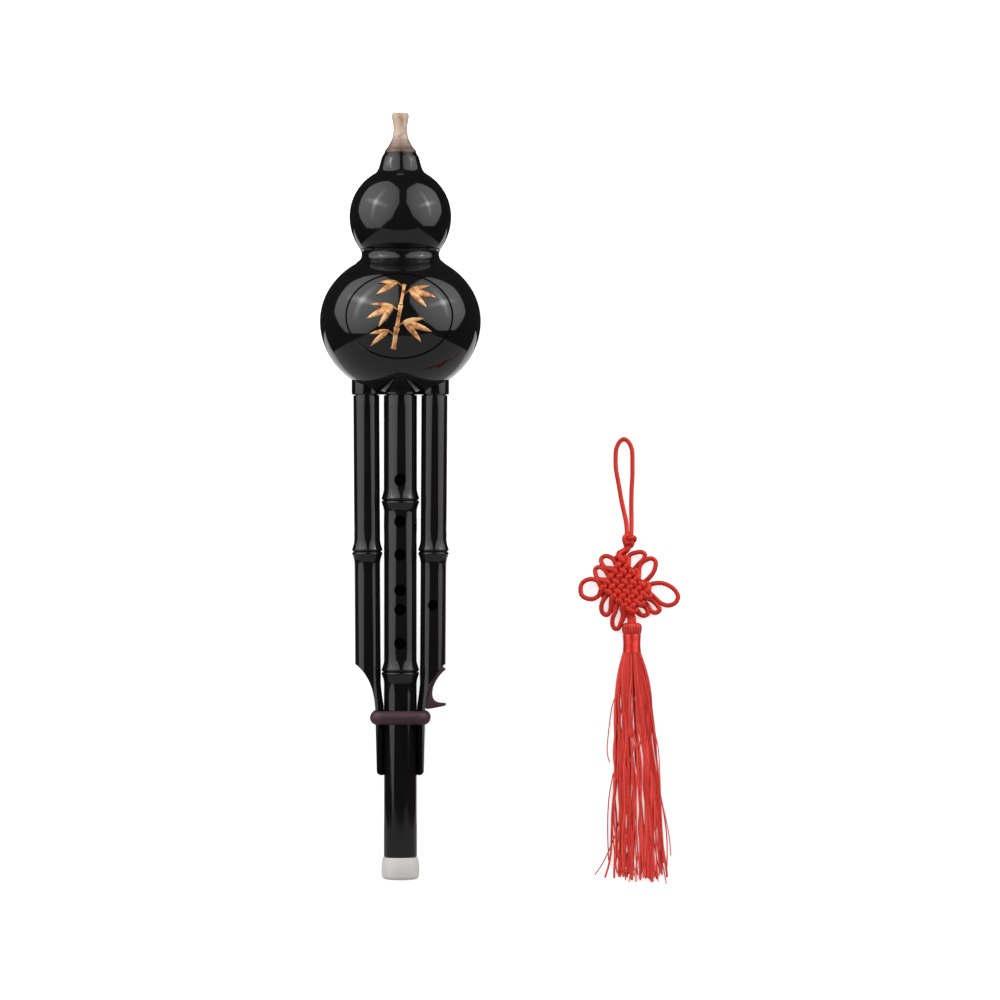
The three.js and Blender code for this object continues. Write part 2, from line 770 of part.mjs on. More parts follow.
const backEars = {
  first: [
    [[2.4, 17.8], [5.7, 19.2], [8.6, 19.5], [10.5, 18.3], [10.1, 15.9], [7.7, 13.5]],
    [[8.2, 12.8], [11.2, 15.2], [14.2, 16], [16.2, 14.5], [16.2, 11.3], [14.7, 7.8]],
  ],
  corner: [
    [13.4, 1.7], [16.5, 2.6], [20.2, 2.5], [24, 1], [27, -1.6],
    [28.4, -4.9], [26.8, -8.1], [23.2, -9.5], [19.4, -8.4], [15.4, -4.9],
  ],
  second: [
    [[14.6, -7], [17.3, -9.7], [18.4, -12], [16.3, -13.5], [13.9, -12.6], [12, -9.6]],
    [[10.2, -9.9], [11.7, -11.9], [12.1, -13.9], [10, -15.1], [7.7, -14.2], [6.2, -12.4]],
  ],
};

// One run of six lines: every second turn is a tight fold, the others are ears
function snake({ place, ears, height, over }) {
  const fold = 0.035;
  const [from, to] = [0, 1].map((share) => place(lineShare(0), share));
  const flat = weaveFlat / Math.hypot(to[0] - from[0], to[1] - from[1]);
  const points = [];
  for (let line = 0; line < knotLines; line += 1) {
    const forward = line % 2 === 0;
    for (let step = 0; step < knotLines; step += 1) {
      const crossing = forward ? step : knotLines - 1 - step;
      const side = (line + crossing) % 2 === 0 ? over : -over;
      const reach = forward ? flat : -flat;
      for (const share of [lineShare(crossing) - reach, lineShare(crossing) + reach]) {
        points.push([...place(lineShare(line), share), height + side * weaveRise]);
      }
    }
    if (line === knotLines - 1) break;
    if (forward) {
      const middle = (lineShare(line) + lineShare(line + 1)) / 2;
      points.push([...place(lineShare(line) + fold, 1 + fold), height]);
      points.push([...place(middle + fold, 1 + fold), height]);
    } else {
      const ear = ears[(line - 1) / 2];
      ear.forEach(([x, y], i) => {
        const share = (i + 1) / (ear.length + 1);
        points.push([x, y, height + (backHeight + earDroop / 2 - height) * Math.sin(Math.PI * share)]);
      });
    }
  }
  return points;
}

// Half of the cord: down one corner in lines one way, round the side ear, and out in lines the other way
function halfKnot(place, ears, height, over) {
  const middle = (frontHeight + backHeight) / 2;
  const aside = over * (weaveGap - cordRadius * Math.cos(Math.PI / cordSides));
  const sideEar = ears.corner.map(([x, y], i) => {
    const share = (i + 1) / (ears.corner.length + 1);
    return [x, y, height + (backHeight + earDroop / 2 - height) * Math.sin(Math.PI * share)];
  });
  const down = snake({ place, ears: ears.first, height, over });
  const along = snake({ place: (line, run) => place(1 - run, line), ears: ears.second, height, over });
  const upper = buttonHeight - buttonRadius - fitGap;
  const lower = capDomeTop + fitGap;
  const stem = [upper, upper - 2 * cordRadius].map((y) => [aside, y, middle]);
  const foot = [lower + 2 * cordRadius, lower].map((y) => [tasselAxis + aside, y, middle]);
  return [
    [...stem, [...place(lineShare(0) / 2, -lineShare(0) / 2), height], ...down, ...sideEar, along[0]],
    [...along, ...foot],
  ];
}

function mysticKnot() {
  const runs = [
    ...halfKnot(knotPlace, frontEars, frontHeight, 1),
    ...halfKnot((line, run) => knotPlace(run, line), backEars, backHeight, -1),
  ];
  return join(runs.map((points) => cordTube(points, cordRadius, cordSides)));
}

// The hanging loop, out of the button knot and back into it, point by point along the cord
const loopRoute = [
  [0.7, 29.9, 3.6], [0.6, 34.6, 2.2], [-0.3, 39.6, 1.2], [-1.4, 44.6, 1.15], [-2.3, 49.2, 1.15],
  [-3, 53.7, 1.15], [-3.8, 58.2, 1.15], [-4.6, 62.6, 1.15], [-5.1, 67, 1.15], [-5.1, 71.5, 1.15],
  [-4.8, 75.5, 1.15], [-3.2, 79.4, 1.15], [-0.6, 81.2, 1.15], [2.1, 79.4, 1.15], [3.7, 75.5, 1.15],
  [4, 71.5, 1.15], [4, 67, 1.15], [4, 62.6, 1.15], [3.8, 58.2, 1.15], [3.5, 53.7, 1.15],
  [3.4, 49.2, 1.15], [3.3, 44.6, 1.15], [3.4, 39.6, 1.2], [3.4, 34.6, 2.2], [3.3, 29.9, 3.6],
];

function buttonKnot() {
  const wrap = (tiltX, tiltZ, radius) =>
    solidOf(
      new THREE.TorusGeometry(radius - cordRadius, cordRadius, cordSides, smallSides - 2)
        .rotateX(tiltX)
        .rotateZ(tiltZ)
        .translate(buttonAside, buttonHeight, buttonRadius),
    );
  const heart = solidOf(
    new THREE.SphereGeometry(buttonRadius - cordRadius / 2, smallSides - 2, smallSides / 2)
      .translate(buttonAside, buttonHeight, buttonRadius),
  );
  const quarter = Math.PI / 2;
  return join([
    heart,
    wrap(quarter, quarter / 2, buttonRadius),
    wrap(quarter, -quarter / 2, buttonRadius),
    wrap(quarter / 4, 0, buttonRadius),
  ]);
}

function lyingTurned(outline) {
  const solid = turned(outline, smallSides);
  return solid.translate(tasselAxis, 0, capDomeRadius);
}

function tasselCap() {
  const foot = capDomeTop - capDomeLength;
  return lyingTurned([
    [0, foot],
    [capDomeRadius, foot],
    [capDomeRadius, capDomeTop - capDomeLength / 4],
    [capDomeRadius * 0.85, capDomeTop - capDomeLength / 12],
    [capDomeRadius * 0.55, capDomeTop],
    [0, capDomeTop],
  ]);
}

const bandTop = capDomeTop - capDomeLength - fitGap;
const bandFoot = bandTop - bandLength;

function tasselBand() {
  return lyingTurned([
    [0, bandFoot],
    [bandRadius, bandFoot],
    [bandRadius * 0.97, (bandFoot + bandTop) / 2],
    [bandRadius, bandTop],
    [0, bandTop],
  ]);
}

// How wide the skirt hangs along its length
const skirtLengthShares = [0, 0.1, 0.26, 0.5, 1];
const skirtSpreadShares = [0.25, 0.56, 0.74, 0.85, 1];
const skirtLayers = 3;
const locksAcross = 12;
const lockSides = 4;

function lock(layer, column) {
  const top = bandFoot - fitGap;
  const stagger = layer % 2 === 0 ? 0 : 0.5;
  const place = (2 * (column + stagger)) / (locksAcross - 0.5) - 1;
  const ragged = 1 - 0.045 * (1 + Math.sin(column * 2.4 + layer * 1.7));
  const rings = skirtLengthShares.map((share, i) => {
    const half = skirtHalfWidth * skirtSpreadShares[i];
    const taper = i === skirtLengthShares.length - 1 ? 0.45 : 1;
    const radius = ((half * 0.8) / locksAcross) * taper;
    const settled = Math.min(1, share / skirtLengthShares[3]);
    const high = capDomeRadius + (layer - 1) * skirtTopPitch;
    const low = radius + layer * skirtLayerPitch;
    const x = tasselAxis + half * place + skirtDrift * Math.sin((share * Math.PI) / 2) * settled;
    return { x, y: top - skirtLength * share * ragged, z: THREE.MathUtils.lerp(high, low, settled), radius };
  });
  const positions = rings.flatMap(({ x, y, z, radius }) =>
    Array.from({ length: lockSides }, (_, i) => {
      const angle = (2 * Math.PI * (i + 0.5)) / lockSides;
      return [x + radius * Math.cos(angle), y, z + radius * Math.sin(angle)];
    }).flat(),
  );
  const index = [];
  for (let ring = 0; ring < rings.length - 1; ring += 1) {
    for (let i = 0; i < lockSides; i += 1) {
      const a = ring * lockSides + i;
      const b = ring * lockSides + ((i + 1) % lockSides);
      index.push(a, b, a + lockSides, b, b + lockSides, a + lockSides);
    }
  }
  const last = (rings.length - 1) * lockSides;
  index.push(0, 2, 1, 0, 3, 2, last, last + 1, last + 2, last, last + 2, last + 3);
  const geometry = new THREE.BufferGeometry();
  geometry.setAttribute("position", new THREE.Float32BufferAttribute(positions, 3));
  geometry.setIndex(index);
  return geometry;
}

function tasselSkirt() {
  const top = bandFoot - fitGap;
  const backing = lyingTurned([
    [0, top - skirtBacking],
    [bandRadius, top - skirtBacking],
    [bandRadius, top],
    [0, top],
  ]);
  const locks = [];
  for (let layer = 0; layer < skirtLayers; layer += 1) {
    for (let column = 0; column < locksAcross; column += 1) locks.push(lock(layer, column));
  }
  return backing.add(solidOf(mergeGeometries(locks)));
}

// Assembly
const flute = new THREE.Group();
flute.add(
  part("upper_gourd", upperGourd(), black),
  part("lower_gourd", lowerGourd(), black),
  part("emblem_sprig", emblemSprig(), gold),
  part("mouthpiece", mouthpiece(), resin),
  part("pipe_seat", pipeSeat(), black),
  part("main_pipe", mainPipe(), black),
  part("main_pipe_seal", pipeSeal(mainTenonRadius), maroon),
  part("main_pipe_plug", pipePlug(mainPipeBore, mainTenonRadius, mainPipeInside), cork),
  part("main_reed", reed(mainTenonRadius, mainPipeInside, mainReedFlat, mainReedWidth, mainReedWindow, 0), brass),
  part("binding_ring", bindingRing(), maroon),
  part("end_cap", endCap(), white),
);

for (const [name, side] of [["left_drone", -1], ["right_drone", 1]]) {
  const drone = new THREE.Group();
  drone.add(
    part(name + "_pipe", dronePipe(side), black),
    part(name + "_seal", pipeSeal(droneTenonRadius), maroon),
    part(name + "_plug", pipePlug(droneBore, droneTenonRadius, droneInside), cork),
  );
  if (side > 0) {
    const plateWidths = [droneReedFlat, droneReedWidth, droneReedWindow];
    drone.add(part("right_drone_reed", reed(droneTenonRadius, droneInside, ...plateWidths, 0), brass));
    drone.add(part("drone_stopper", droneStopper(), maroon));
  }
  // it leans about the middle of its hole in the seat's face
  drone.rotation.z = -side * droneLean;
  drone.position.x = side * droneSpacing + seatFace * Math.sin(drone.rotation.z);
  drone.position.y = seatFace * (1 - Math.cos(drone.rotation.z));
  flute.add(drone);
}

// The flute lies on its lower bulb and on the rim of its end cap
const underside = bulbArc(lowerBulb, 0, waistRadius, 60);
const slope = ([rimRadius, rimHeight]) =>
  Math.max(...underside.map(([r, y]) => Math.atan2(r - rimRadius, y - rimHeight)));
const tilt = Math.min(...capCorner.map(slope));
const depthBelow = ([r, y]) => r * Math.cos(tilt) - y * Math.sin(tilt);
flute.rotation.x = tilt;
flute.position.z = Math.max(...underside.map(depthBelow), ...capCorner.map(depthBelow));

const tassel = new THREE.Group();
tassel.add(
  part("button_knot", buttonKnot(), red),
  part("mystic_knot", mysticKnot(), red),
  part("tassel_cap", tasselCap(), red),
  part("tassel_band", tasselBand(), red),
  part("tassel_skirt", tasselSkirt(), red),
);
tassel.position.set(tasselAside, -tasselBelow, 0);
const hangingLoop = part("hanging_loop", cordTube(loopRoute, cordRadius, loopSides), red);

const hulusi = new THREE.Group();
hulusi.add(flute, tassel);

// The origin is the middle of the outline on the floor, taken before the free loop is added
const bounds = new THREE.Box3().setFromObject(hulusi, true);
tassel.add(hangingLoop);
hulusi.position.set(-(bounds.min.x + bounds.max.x) / 2, -(bounds.min.y + bounds.max.y) / 2, -bounds.min.z);

export default hulusi;
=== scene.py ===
"""Looks for the hulusi and its knot tassel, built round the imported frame. Metres, +Z up."""
import bmesh
import bpy
import random
from math import acos, atan, cos, hypot, pi, radians, sin, sqrt, tan
from mathutils import Matrix, Vector
from mathutils.bvhtree import BVHTree
from mathutils.interpolate import poly_3d_calc


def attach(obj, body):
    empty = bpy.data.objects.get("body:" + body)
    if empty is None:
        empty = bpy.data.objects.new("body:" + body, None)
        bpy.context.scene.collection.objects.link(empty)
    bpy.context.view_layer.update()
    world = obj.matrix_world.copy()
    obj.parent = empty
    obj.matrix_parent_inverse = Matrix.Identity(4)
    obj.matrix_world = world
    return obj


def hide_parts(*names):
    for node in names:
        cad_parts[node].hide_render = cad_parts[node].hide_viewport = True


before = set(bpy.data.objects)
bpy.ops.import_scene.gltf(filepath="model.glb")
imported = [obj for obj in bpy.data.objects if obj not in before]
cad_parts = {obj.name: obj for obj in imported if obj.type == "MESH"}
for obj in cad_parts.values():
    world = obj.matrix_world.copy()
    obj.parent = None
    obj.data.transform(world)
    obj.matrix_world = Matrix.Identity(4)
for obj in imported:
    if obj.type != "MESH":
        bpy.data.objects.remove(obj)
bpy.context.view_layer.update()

MM = 0.001
TILT = radians(6.380644452531484)
FLUTE_AT = Vector((-0.053860041, 0.093731082, 0.043051054))
TASSEL_AT = Vector((0.067339959, -0.046068918, 0.000001817))
TO_WORLD = Matrix.Translation(FLUTE_AT) @ Matrix.Rotation(TILT, 4, "X")
FLUTE = TO_WORLD @ Matrix.Scale(MM, 4)
TASSEL = Matrix.Translation(TASSEL_AT) @ Matrix.Scale(MM, 4)

# Sizes in millimetres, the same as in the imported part
FIT = 0.3
WALL = 3.0
LOWER = {"radius": 43.1, "rise": 37.0, "drop": 39.4, "centre": 0.0}
UPPER = {"radius": 27.25, "rise": 26.7, "drop": 28.4, "centre": 0.0}
WAIST, WAIST_STEP, COLLAR = 20.8, 0.85, 6.5
NECK_FOOT, NECK_TOP_R, NECK_LENGTH = 12.4, 8.85, 10.3
MOUTH_TENON, MOUTH_TENON_LENGTH = 6.5, 10.5
SEAT_FACE = -39.4
SEAT_TOP = SEAT_FACE + 15.0
OVAL_HALF_WIDTH, OVAL_HALF_HEIGHT, OVAL_CENTRE = 28.2, 22.5, 1.6
MAIN = {"radius": 8.87, "bore": 5.7, "tenon": 7.6, "length": 247.6, "inside": 63.0, "joints": (148.5, 56.7)}
DRONE = {"radius": 6.95, "bore": 4.8, "tenon": 5.9, "length": 204.0, "inside": 50.0, "joints": (84.2,)}
DRONE_SPACING = 18.25
LIP_RISE = 1.24
LEAN = atan((DRONE_SPACING - DRONE["radius"] - MAIN["radius"] - LIP_RISE - FIT) / MAIN["joints"][0])
TONGUE_FACE = 3.9
RING_CENTRE = 173.0


def reach_at(bulb, way, radius):
    """How far up ("rise") or down ("drop") from its middle a bulb narrows to a radius."""
    return bulb[way] * sqrt(1 - (radius / bulb["radius"]) ** 2)


COLLAR_TOP = reach_at(LOWER, "rise", WAIST + WAIST_STEP) + COLLAR
UPPER_FOOT = COLLAR_TOP + FIT
UPPER["centre"] = UPPER_FOOT + reach_at(UPPER, "drop", WAIST + WAIST_STEP)
NECK_ROOT = UPPER["centre"] + reach_at(UPPER, "rise", NECK_FOOT)
NECK_TOP = NECK_ROOT + NECK_LENGTH


# Curves
def evenly(steps, start=0.0, end=1.0):
    """The start, the end and the evenly spaced values between them."""
    return [start + (end - start) * k / steps for k in range(steps + 1)]


def around(count):
    """Even turns round a circle."""
    return [2 * pi * k / count for k in range(count)]


def bend_through(points, steps):
    """A Catmull-Rom curve through the points, in so many steps from each to the next."""
    out = []
    for i, (b, c) in enumerate(zip(points, points[1:])):
        a = points[max(i - 1, 0)]
        d = points[min(i + 2, len(points) - 1)]
        for k in range(steps):
            t = k / steps
            out.append(tuple(
                0.5 * (2 * q + (r - p) * t + (2 * p - 5 * q + 4 * r - s) * t * t
                       + (3 * q - p - 3 * r + s) * t ** 3)
                for p, q, r, s in zip(a, b, c, d)))
    out.append(tuple(points[-1]))
    return out


def curve(a, corner, b, steps, start=0.0, end=1.0):
    """A curve that leaves a towards the corner and reaches b from it, or a stretch of that curve."""
    return [tuple(p * (1 - t) ** 2 + 2 * q * t * (1 - t) + r * t * t for p, q, r in zip(a, corner, b))
            for t in evenly(steps, start, end)]


def rounded(outline, corners, steps=5):
    """Round the named corners of an open outline: {index: radius}."""
    out = []
    for i, point in enumerate(outline):
        if i not in corners:
            out.append(tuple(point))
            continue
        p = Vector(point)
        a = Vector(outline[i - 1]) - p
        b = Vector(outline[i + 1]) - p
        reach = min(corners[i], a.length * 0.49, b.length * 0.49)
        out += curve(p + a.normalized() * reach, p, p + b.normalized() * reach, steps)
    return out


# Meshes
def mesh_object(name, verts, faces, matrix, uvs=None, angle=38.0):
    mesh = bpy.data.meshes.new(name)
    mesh.from_pydata([tuple(matrix @ v) for v in verts], [], faces)
    if uvs is not None:
        layer = mesh.uv_layers.new(name="along")
        for loop, uv in zip(layer.data, uvs):
            loop.uv = uv
    mesh.polygons.foreach_set("use_smooth", [True] * len(mesh.polygons))
    mesh.update()
    mesh.set_sharp_from_angle(angle=radians(angle))
    obj = bpy.data.objects.new(name, mesh)
    bpy.context.scene.collection.objects.link(obj)
    return obj


def face_outwards(obj):
    shape = bmesh.new()
    shape.from_mesh(obj.data)
    bmesh.ops.recalc_face_normals(shape, faces=shape.faces)
    shape.to_mesh(obj.data)
    shape.free()
    obj.data.update()
    return obj


def dress(obj, body, slot_name, material, *nodes):
    obj.data.materials.clear()
    obj.data.materials.append(material)
    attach(obj, body)
    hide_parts(*nodes)


def sheet(rings, count, closed=False):
    """The faces between rings of so many vertices. A closed sheet joins the last ring to the first."""
    faces = []
    for i in range(rings if closed else rings - 1):
        j = (i + 1) % rings
        for k in range(count):
            n = (k + 1) % count
            faces.append((i * count + k, i * count + n, j * count + n, j * count + k))
    return faces


def ends(rings, count):
    """The faces that close the first and the last ring of a sheet."""
    return [tuple(range(count))[::-1], tuple(range((rings - 1) * count, rings * count))]


def lathe(name, outline, sides, matrix, ribs=None):
    """Turn [radius, height] pairs round local Y. Points on the axis become one vertex."""
    verts, rings, travelled = [], [], [0.0]
    for (r0, y0), (r1, y1) in zip(outline, outline[1:]):
        travelled.append(travelled[-1] + hypot(r1 - r0, y1 - y0))
    for r, y in outline:
        if r < 1e-6:
            rings.append([len(verts)] * sides)
            verts.append(Vector((0, y, 0)))
            continue
        rings.append(range(len(verts), len(verts) + sides))
        for a in around(sides):
            reach = r * ribs(a, y) if ribs else r
            verts.append(Vector((reach * sin(a), y, reach * cos(a))))
    faces, uvs = [], []
    for i in range(len(rings) - 1):
        for k in range(sides):
            face = {}
            for row, turn in ((i, k), (i, k + 1), (i + 1, k + 1), (i + 1, k)):
                face.setdefault(rings[row][turn % sides], (turn / sides, travelled[row]))
            if len(face) > 2:
                faces.append(tuple(face))
                uvs += face.values()
    return face_outwards(mesh_object(name, verts, faces, matrix, uvs))


def prism(name, outline, low, high, matrix):
    """Extrude a closed [x, y] outline along local Z."""
    count = len(outline)
    verts = [Vector((x, y, z)) for z in (low, high) for x, y in outline]
    return face_outwards(mesh_object(name, verts, ends(2, count) + sheet(2, count), matrix, angle=30))


def slab(name, half, low, high, back, front, matrix):
    """A box by half its width, its lowest and highest points, and its reach along local Z."""
    return prism(name, [(-half, low), (half, low), (half, high), (-half, high)], back, front, matrix)


def tube_data(points, sections, sides, number=0):
    """Verts, faces and UVs (turns round, millimetres along) of a capped tube that never runs straight up.

    Each point has a half width and a half height in sections. The number is added to the turns."""
    verts, uvs, along = [], [], [0.0]
    for a, b in zip(points, points[1:]):
        along.append(along[-1] + (b - a).length)
    turns = evenly(sides, number + 0.001, number + 0.999)
    befores, afters = points[:1] + points, points[1:] + points[-1:]
    for before, point, after, (wide, high) in zip(befores, points, afters, sections):
        tangent = (after - before).normalized()
        side = Vector((0, 0, 1)).cross(tangent).normalized()
        upright = tangent.cross(side)
        verts += [point + side * (wide * cos(a)) + upright * (high * sin(a)) for a in around(sides)]
    for near, far in zip(along, along[1:]):
        for a, b in zip(turns, turns[1:]):
            uvs += [(a, near), (b, near), (b, far), (a, far)]
    uvs += [(turn, end) for end in (0.0, along[-1]) for turn in turns[:-1]]
    return verts, sheet(len(points), sides) + ends(len(points), sides), uvs


def cord_data(points, radius, sides, number=0):
    return tube_data(points, [(radius, radius)] * len(points), sides, number)


def merged(name, parts, matrix):
    """One object of many tubes or strips."""
    verts, faces, uvs = [], [], []
    for part_verts, part_faces, part_uvs in parts:
        base = len(verts)
        verts += part_verts
        faces += [tuple(i + base for i in face) for face in part_faces]
        uvs += part_uvs
    return mesh_object(name, verts, faces, matrix, uvs, angle=70)


def carve(obj, cutters, operation="DIFFERENCE"):
    """Cut by each cutter, or join it on, and keep the smooth normals of the skin that is left."""
    before = obj.data.copy()
    for cutter in cutters:
        modifier = obj.modifiers.new("cut", "BOOLEAN")
        modifier.object = cutter
        modifier.solver = "EXACT"
        modifier.operation = operation
    graph = bpy.context.evaluated_depsgraph_get()
    cut_mesh = bpy.data.meshes.new_from_object(obj.evaluated_get(graph))
    obj.modifiers.clear()
    obj.data = cut_mesh
    cut_mesh.name = obj.name
    for cutter in cutters:
        bpy.data.objects.remove(cutter)
    keep_skin(cut_mesh, before)
    return obj


def keep_skin(mesh, before):
    """Old skin takes the normals it had before the cut. New faces are smoothed among themselves."""
    touching, same_way, near_way, sharp = 2e-6, 0.97, 0.9, cos(radians(35))
    verts = [v.co.copy() for v in before.vertices]
    tree = BVHTree.FromPolygons(verts, [tuple(p.vertices) for p in before.polygons])
    corners, skin, cut = {}, set(), {}
    for poly in before.polygons:
        for v, li in zip(poly.vertices, poly.loop_indices):
            corners[(poly.index, v)] = before.corner_normals[li].vector.copy()
    for poly in mesh.polygons:
        normal, gap = tree.find_nearest(poly.center)[1::2]
        if gap < touching and abs(poly.normal.dot(normal)) > same_way:
            skin.add(poly.index)
            continue
        for v in poly.vertices:
            cut.setdefault(v, []).append(poly.normal.copy())

    def skin_normal(point, flat):
        spot, _, index, _ = tree.find_nearest(point)
        source = before.polygons[index].vertices
        normal = Vector((0, 0, 0))
        for weight, v in zip(poly_3d_calc([verts[v] for v in source], spot), source):
            normal += corners[(index, v)] * weight
        return normal if normal.normalized().dot(flat) > near_way else flat

    normals = [None] * len(mesh.loops)
    for poly in mesh.polygons:
        for v, li in zip(poly.vertices, poly.loop_indices):
            if poly.index in skin:
                normal = skin_normal(mesh.vertices[v].co, poly.normal)
            else:
                normal = sum((n for n in cut[v] if n.dot(poly.normal) > sharp), Vector((0, 0, 0)))
            normals[li] = normal.normalized()
    mesh.polygons.foreach_set("use_smooth", [True] * len(mesh.polygons))
    mesh.normals_split_custom_set(normals)
    mesh.update()


# Material nodes
def feed(tree, entry, value):
    """Give an input a plain value, or join it to another node's output."""
    if isinstance(value, bpy.types.NodeSocket):
        tree.links.new(value, entry)
    else:
        entry.default_value = value


def node(tree, kind, **values):
    """A new node. A value goes to the input of that name, with _ for a space, or else to the setting."""
    made = tree.nodes.new(kind)
    for key, value in values.items():
        entry = key.replace("_", " ")
        if entry in made.inputs:
            feed(tree, made.inputs[entry], value)
        else:
            setattr(made, key, value)
    return made


def figure(tree, operation, *values):
    """One step of arithmetic."""
    made = node(tree, "ShaderNodeMath", operation=operation)
    for entry, value in zip(made.inputs, values):
        feed(tree, entry, value)
    return made.outputs["Value"]


def spread(tree, source, low, high, to_low, to_high):
    made = node(tree, "ShaderNodeMapRange", From_Min=low, From_Max=high, To_Min=to_low, To_Max=to_high)
    feed(tree, made.inputs["Value"], source)
    return made.outputs["Result"]


def ramp(tree, source, *stops):
    made = node(tree, "ShaderNodeValToRGB", Fac=source)
    points = made.color_ramp.elements
    while len(points) < len(stops):
        points.new(0.5)
    for point, (at, colour) in zip(points, stops):
        point.position = at
        point.color = (*colour, 1)
    return made.outputs["Color"]


def noise(tree, scale, detail=4.0, rough=0.5, warp=0.0):
    place = node(tree, "ShaderNodeTexCoord").outputs["Object"]
    made = node(tree, "ShaderNodeTexNoise", Vector=place, Scale=scale, Detail=detail, Roughness=rough,
                Distortion=warp)
    return made.outputs["Fac"]


def cord_place(tree):
    """A point's place on its cord, as one vector and as turns round and millimetres along."""
    place = node(tree, "ShaderNodeUVMap", uv_map="along").outputs["UV"]
    split = node(tree, "ShaderNodeSeparateXYZ", Vector=place)
    return place, split.outputs["X"], split.outputs["Y"]


def new_material(name):
    material = bpy.data.materials.new(name)
    material.use_nodes = True
    return material, material.node_tree


def surface(tree, **values):
    """Set the inputs of the material's own shader."""
    shader = tree.nodes["Principled BSDF"]
    for key, value in values.items():
        feed(tree, shader.inputs[key.replace("_", " ")], value)


def relief(tree, height, strength, distance):
    """The shader's normals, roughened by a height."""
    made = node(tree, "ShaderNodeBump", Height=height, Strength=strength, Distance=distance)
    return made.outputs["Normal"]


# Materials
def grained(name, stops, cloud, grain, rough, bump, metallic=0.0):
    """A colour that drifts with a cloud, with a grain for its roughness and relief."""
    material, tree = new_material(name)
    fine = noise(tree, *grain)
    surface(tree, Base_Color=ramp(tree, noise(tree, *cloud), *stops), Metallic=metallic,
            Roughness=spread(tree, fine, 0.3, 0.7, *rough), Normal=relief(tree, fine, *bump))
    return material


def black_gloss():
    material, tree = new_material("black_gloss")
    tint = ramp(tree, noise(tree, 28, 3), (0.3, (0.0042, 0.0040, 0.0044)), (0.7, (0.0062, 0.0058, 0.0060)))
    haze = spread(tree, noise(tree, 900, 2, 0.6), 0.3, 0.75, 0.045, 0.10)
    dents = relief(tree, noise(tree, 70, 2), 0.10, 0.0002)
    surface(tree, Base_Color=tint, Roughness=haze, IOR=1.5, Normal=dents)
    return material


def golden():
    stops = [(0.33, (0.13, 0.042, 0.014)), (0.43, (0.44, 0.175, 0.057)),
             (0.52, (0.67, 0.335, 0.125)), (0.68, (0.76, 0.50, 0.26))]
    cloud, grain = (210, 6, 0.62, 0.8), (1400, 3)
    return grained("golden_relief", stops, cloud, grain, (0.30, 0.48), (0.35, 0.0002), 0.25)


def resin():
    """Cream resin, browner towards its foot, with a few rusty veins."""
    material, tree = new_material("cream_resin")
    foot, top = 0.1815, 0.2048
    place = node(tree, "ShaderNodeTexCoord").outputs["Object"]
    split = node(tree, "ShaderNodeSeparateXYZ", Vector=place)
    along = spread(tree, split.outputs["Y"], foot, top, 0.0, 1.0)
    wave = figure(tree, "MULTIPLY_ADD", noise(tree, 230, 5, 0.6, 1.6), 0.36, along)
    tint = ramp(tree, wave, (0.10, (0.026, 0.012, 0.011)), (0.26, (0.090, 0.055, 0.045)),
                (0.44, (0.19, 0.135, 0.110)), (0.68, (0.48, 0.37, 0.30)), (0.95, (0.46, 0.345, 0.265)))
    clear, rusty = (0, 0, 0), (0.45, 0.45, 0.45)
    cracks = noise(tree, 90, 5, 0.55, 2.4)
    veins = ramp(tree, cracks, (0.56, clear), (0.62, rusty), (0.66, rusty), (0.74, clear))
    mix = node(tree, "ShaderNodeMix", data_type="RGBA", Factor=veins)
    base, stain = [s for s in mix.inputs if s.type == "RGBA"]
    feed(tree, base, tint)
    feed(tree, stain, (0.25, 0.11, 0.055, 1))
    mixed = [s for s in mix.outputs if s.type == "RGBA"][0]
    surface(tree, Base_Color=mixed, Roughness=0.22, IOR=1.5, Subsurface_Weight=0.35,
            Subsurface_Radius=(0.004, 0.0022, 0.0014), Subsurface_Scale=0.6,
            Normal=relief(tree, noise(tree, 160, 2), 0.08, 0.0002))
    return material


def maroon():
    stops = [(0.3, (0.032, 0.008, 0.014)), (0.7, (0.052, 0.016, 0.027))]
    return grained("maroon_rubber", stops, (90, 4, 0.6), (2600, 3, 0.6), (0.42, 0.60), (0.25, 0.00008))


def off_white():
    stops = [(0.3, (0.550, 0.535, 0.520)), (0.7, (0.600, 0.588, 0.572))]
    return grained("white_plastic", stops, (45, 4, 0.6), (1900, 2), (0.36, 0.52), (0.15, 0.00006))


def satin_cord():
    """Fine diagonal plaits from the tube's own turns and millimetres, with painted shade in the grooves
    between them.
    """
    material, tree = new_material("red_cord")
    plaits_round, plaits_per_mm = 3.0, 0.62
    turns, length = cord_place(tree)[1:]
    waves = []
    for side in (1, -1):
        lengthways = figure(tree, "MULTIPLY", length, plaits_per_mm)
        phase = figure(tree, "MULTIPLY_ADD", turns, side * plaits_round, lengthways)
        waves.append(figure(tree, "SINE", figure(tree, "MULTIPLY", phase, 2 * pi)))
    plait = figure(tree, "MAXIMUM", *waves)
    # painted shade: the colour darkens in the grooves of the plait and lightens on its crests
    tint = ramp(tree, spread(tree, plait, -0.9, 1.0, 0.0, 1.0), (0.0, (0.40, 0.010, 0.006)),
                (0.45, (0.54, 0.021, 0.013)), (1.0, (0.64, 0.038, 0.026)))
    surface(tree, Base_Color=tint, Roughness=0.36, Metallic=0.30, Specular_Tint=(1.0, 0.45, 0.38, 1),
            Normal=relief(tree, plait, 0.35, 0.00016))
    return material


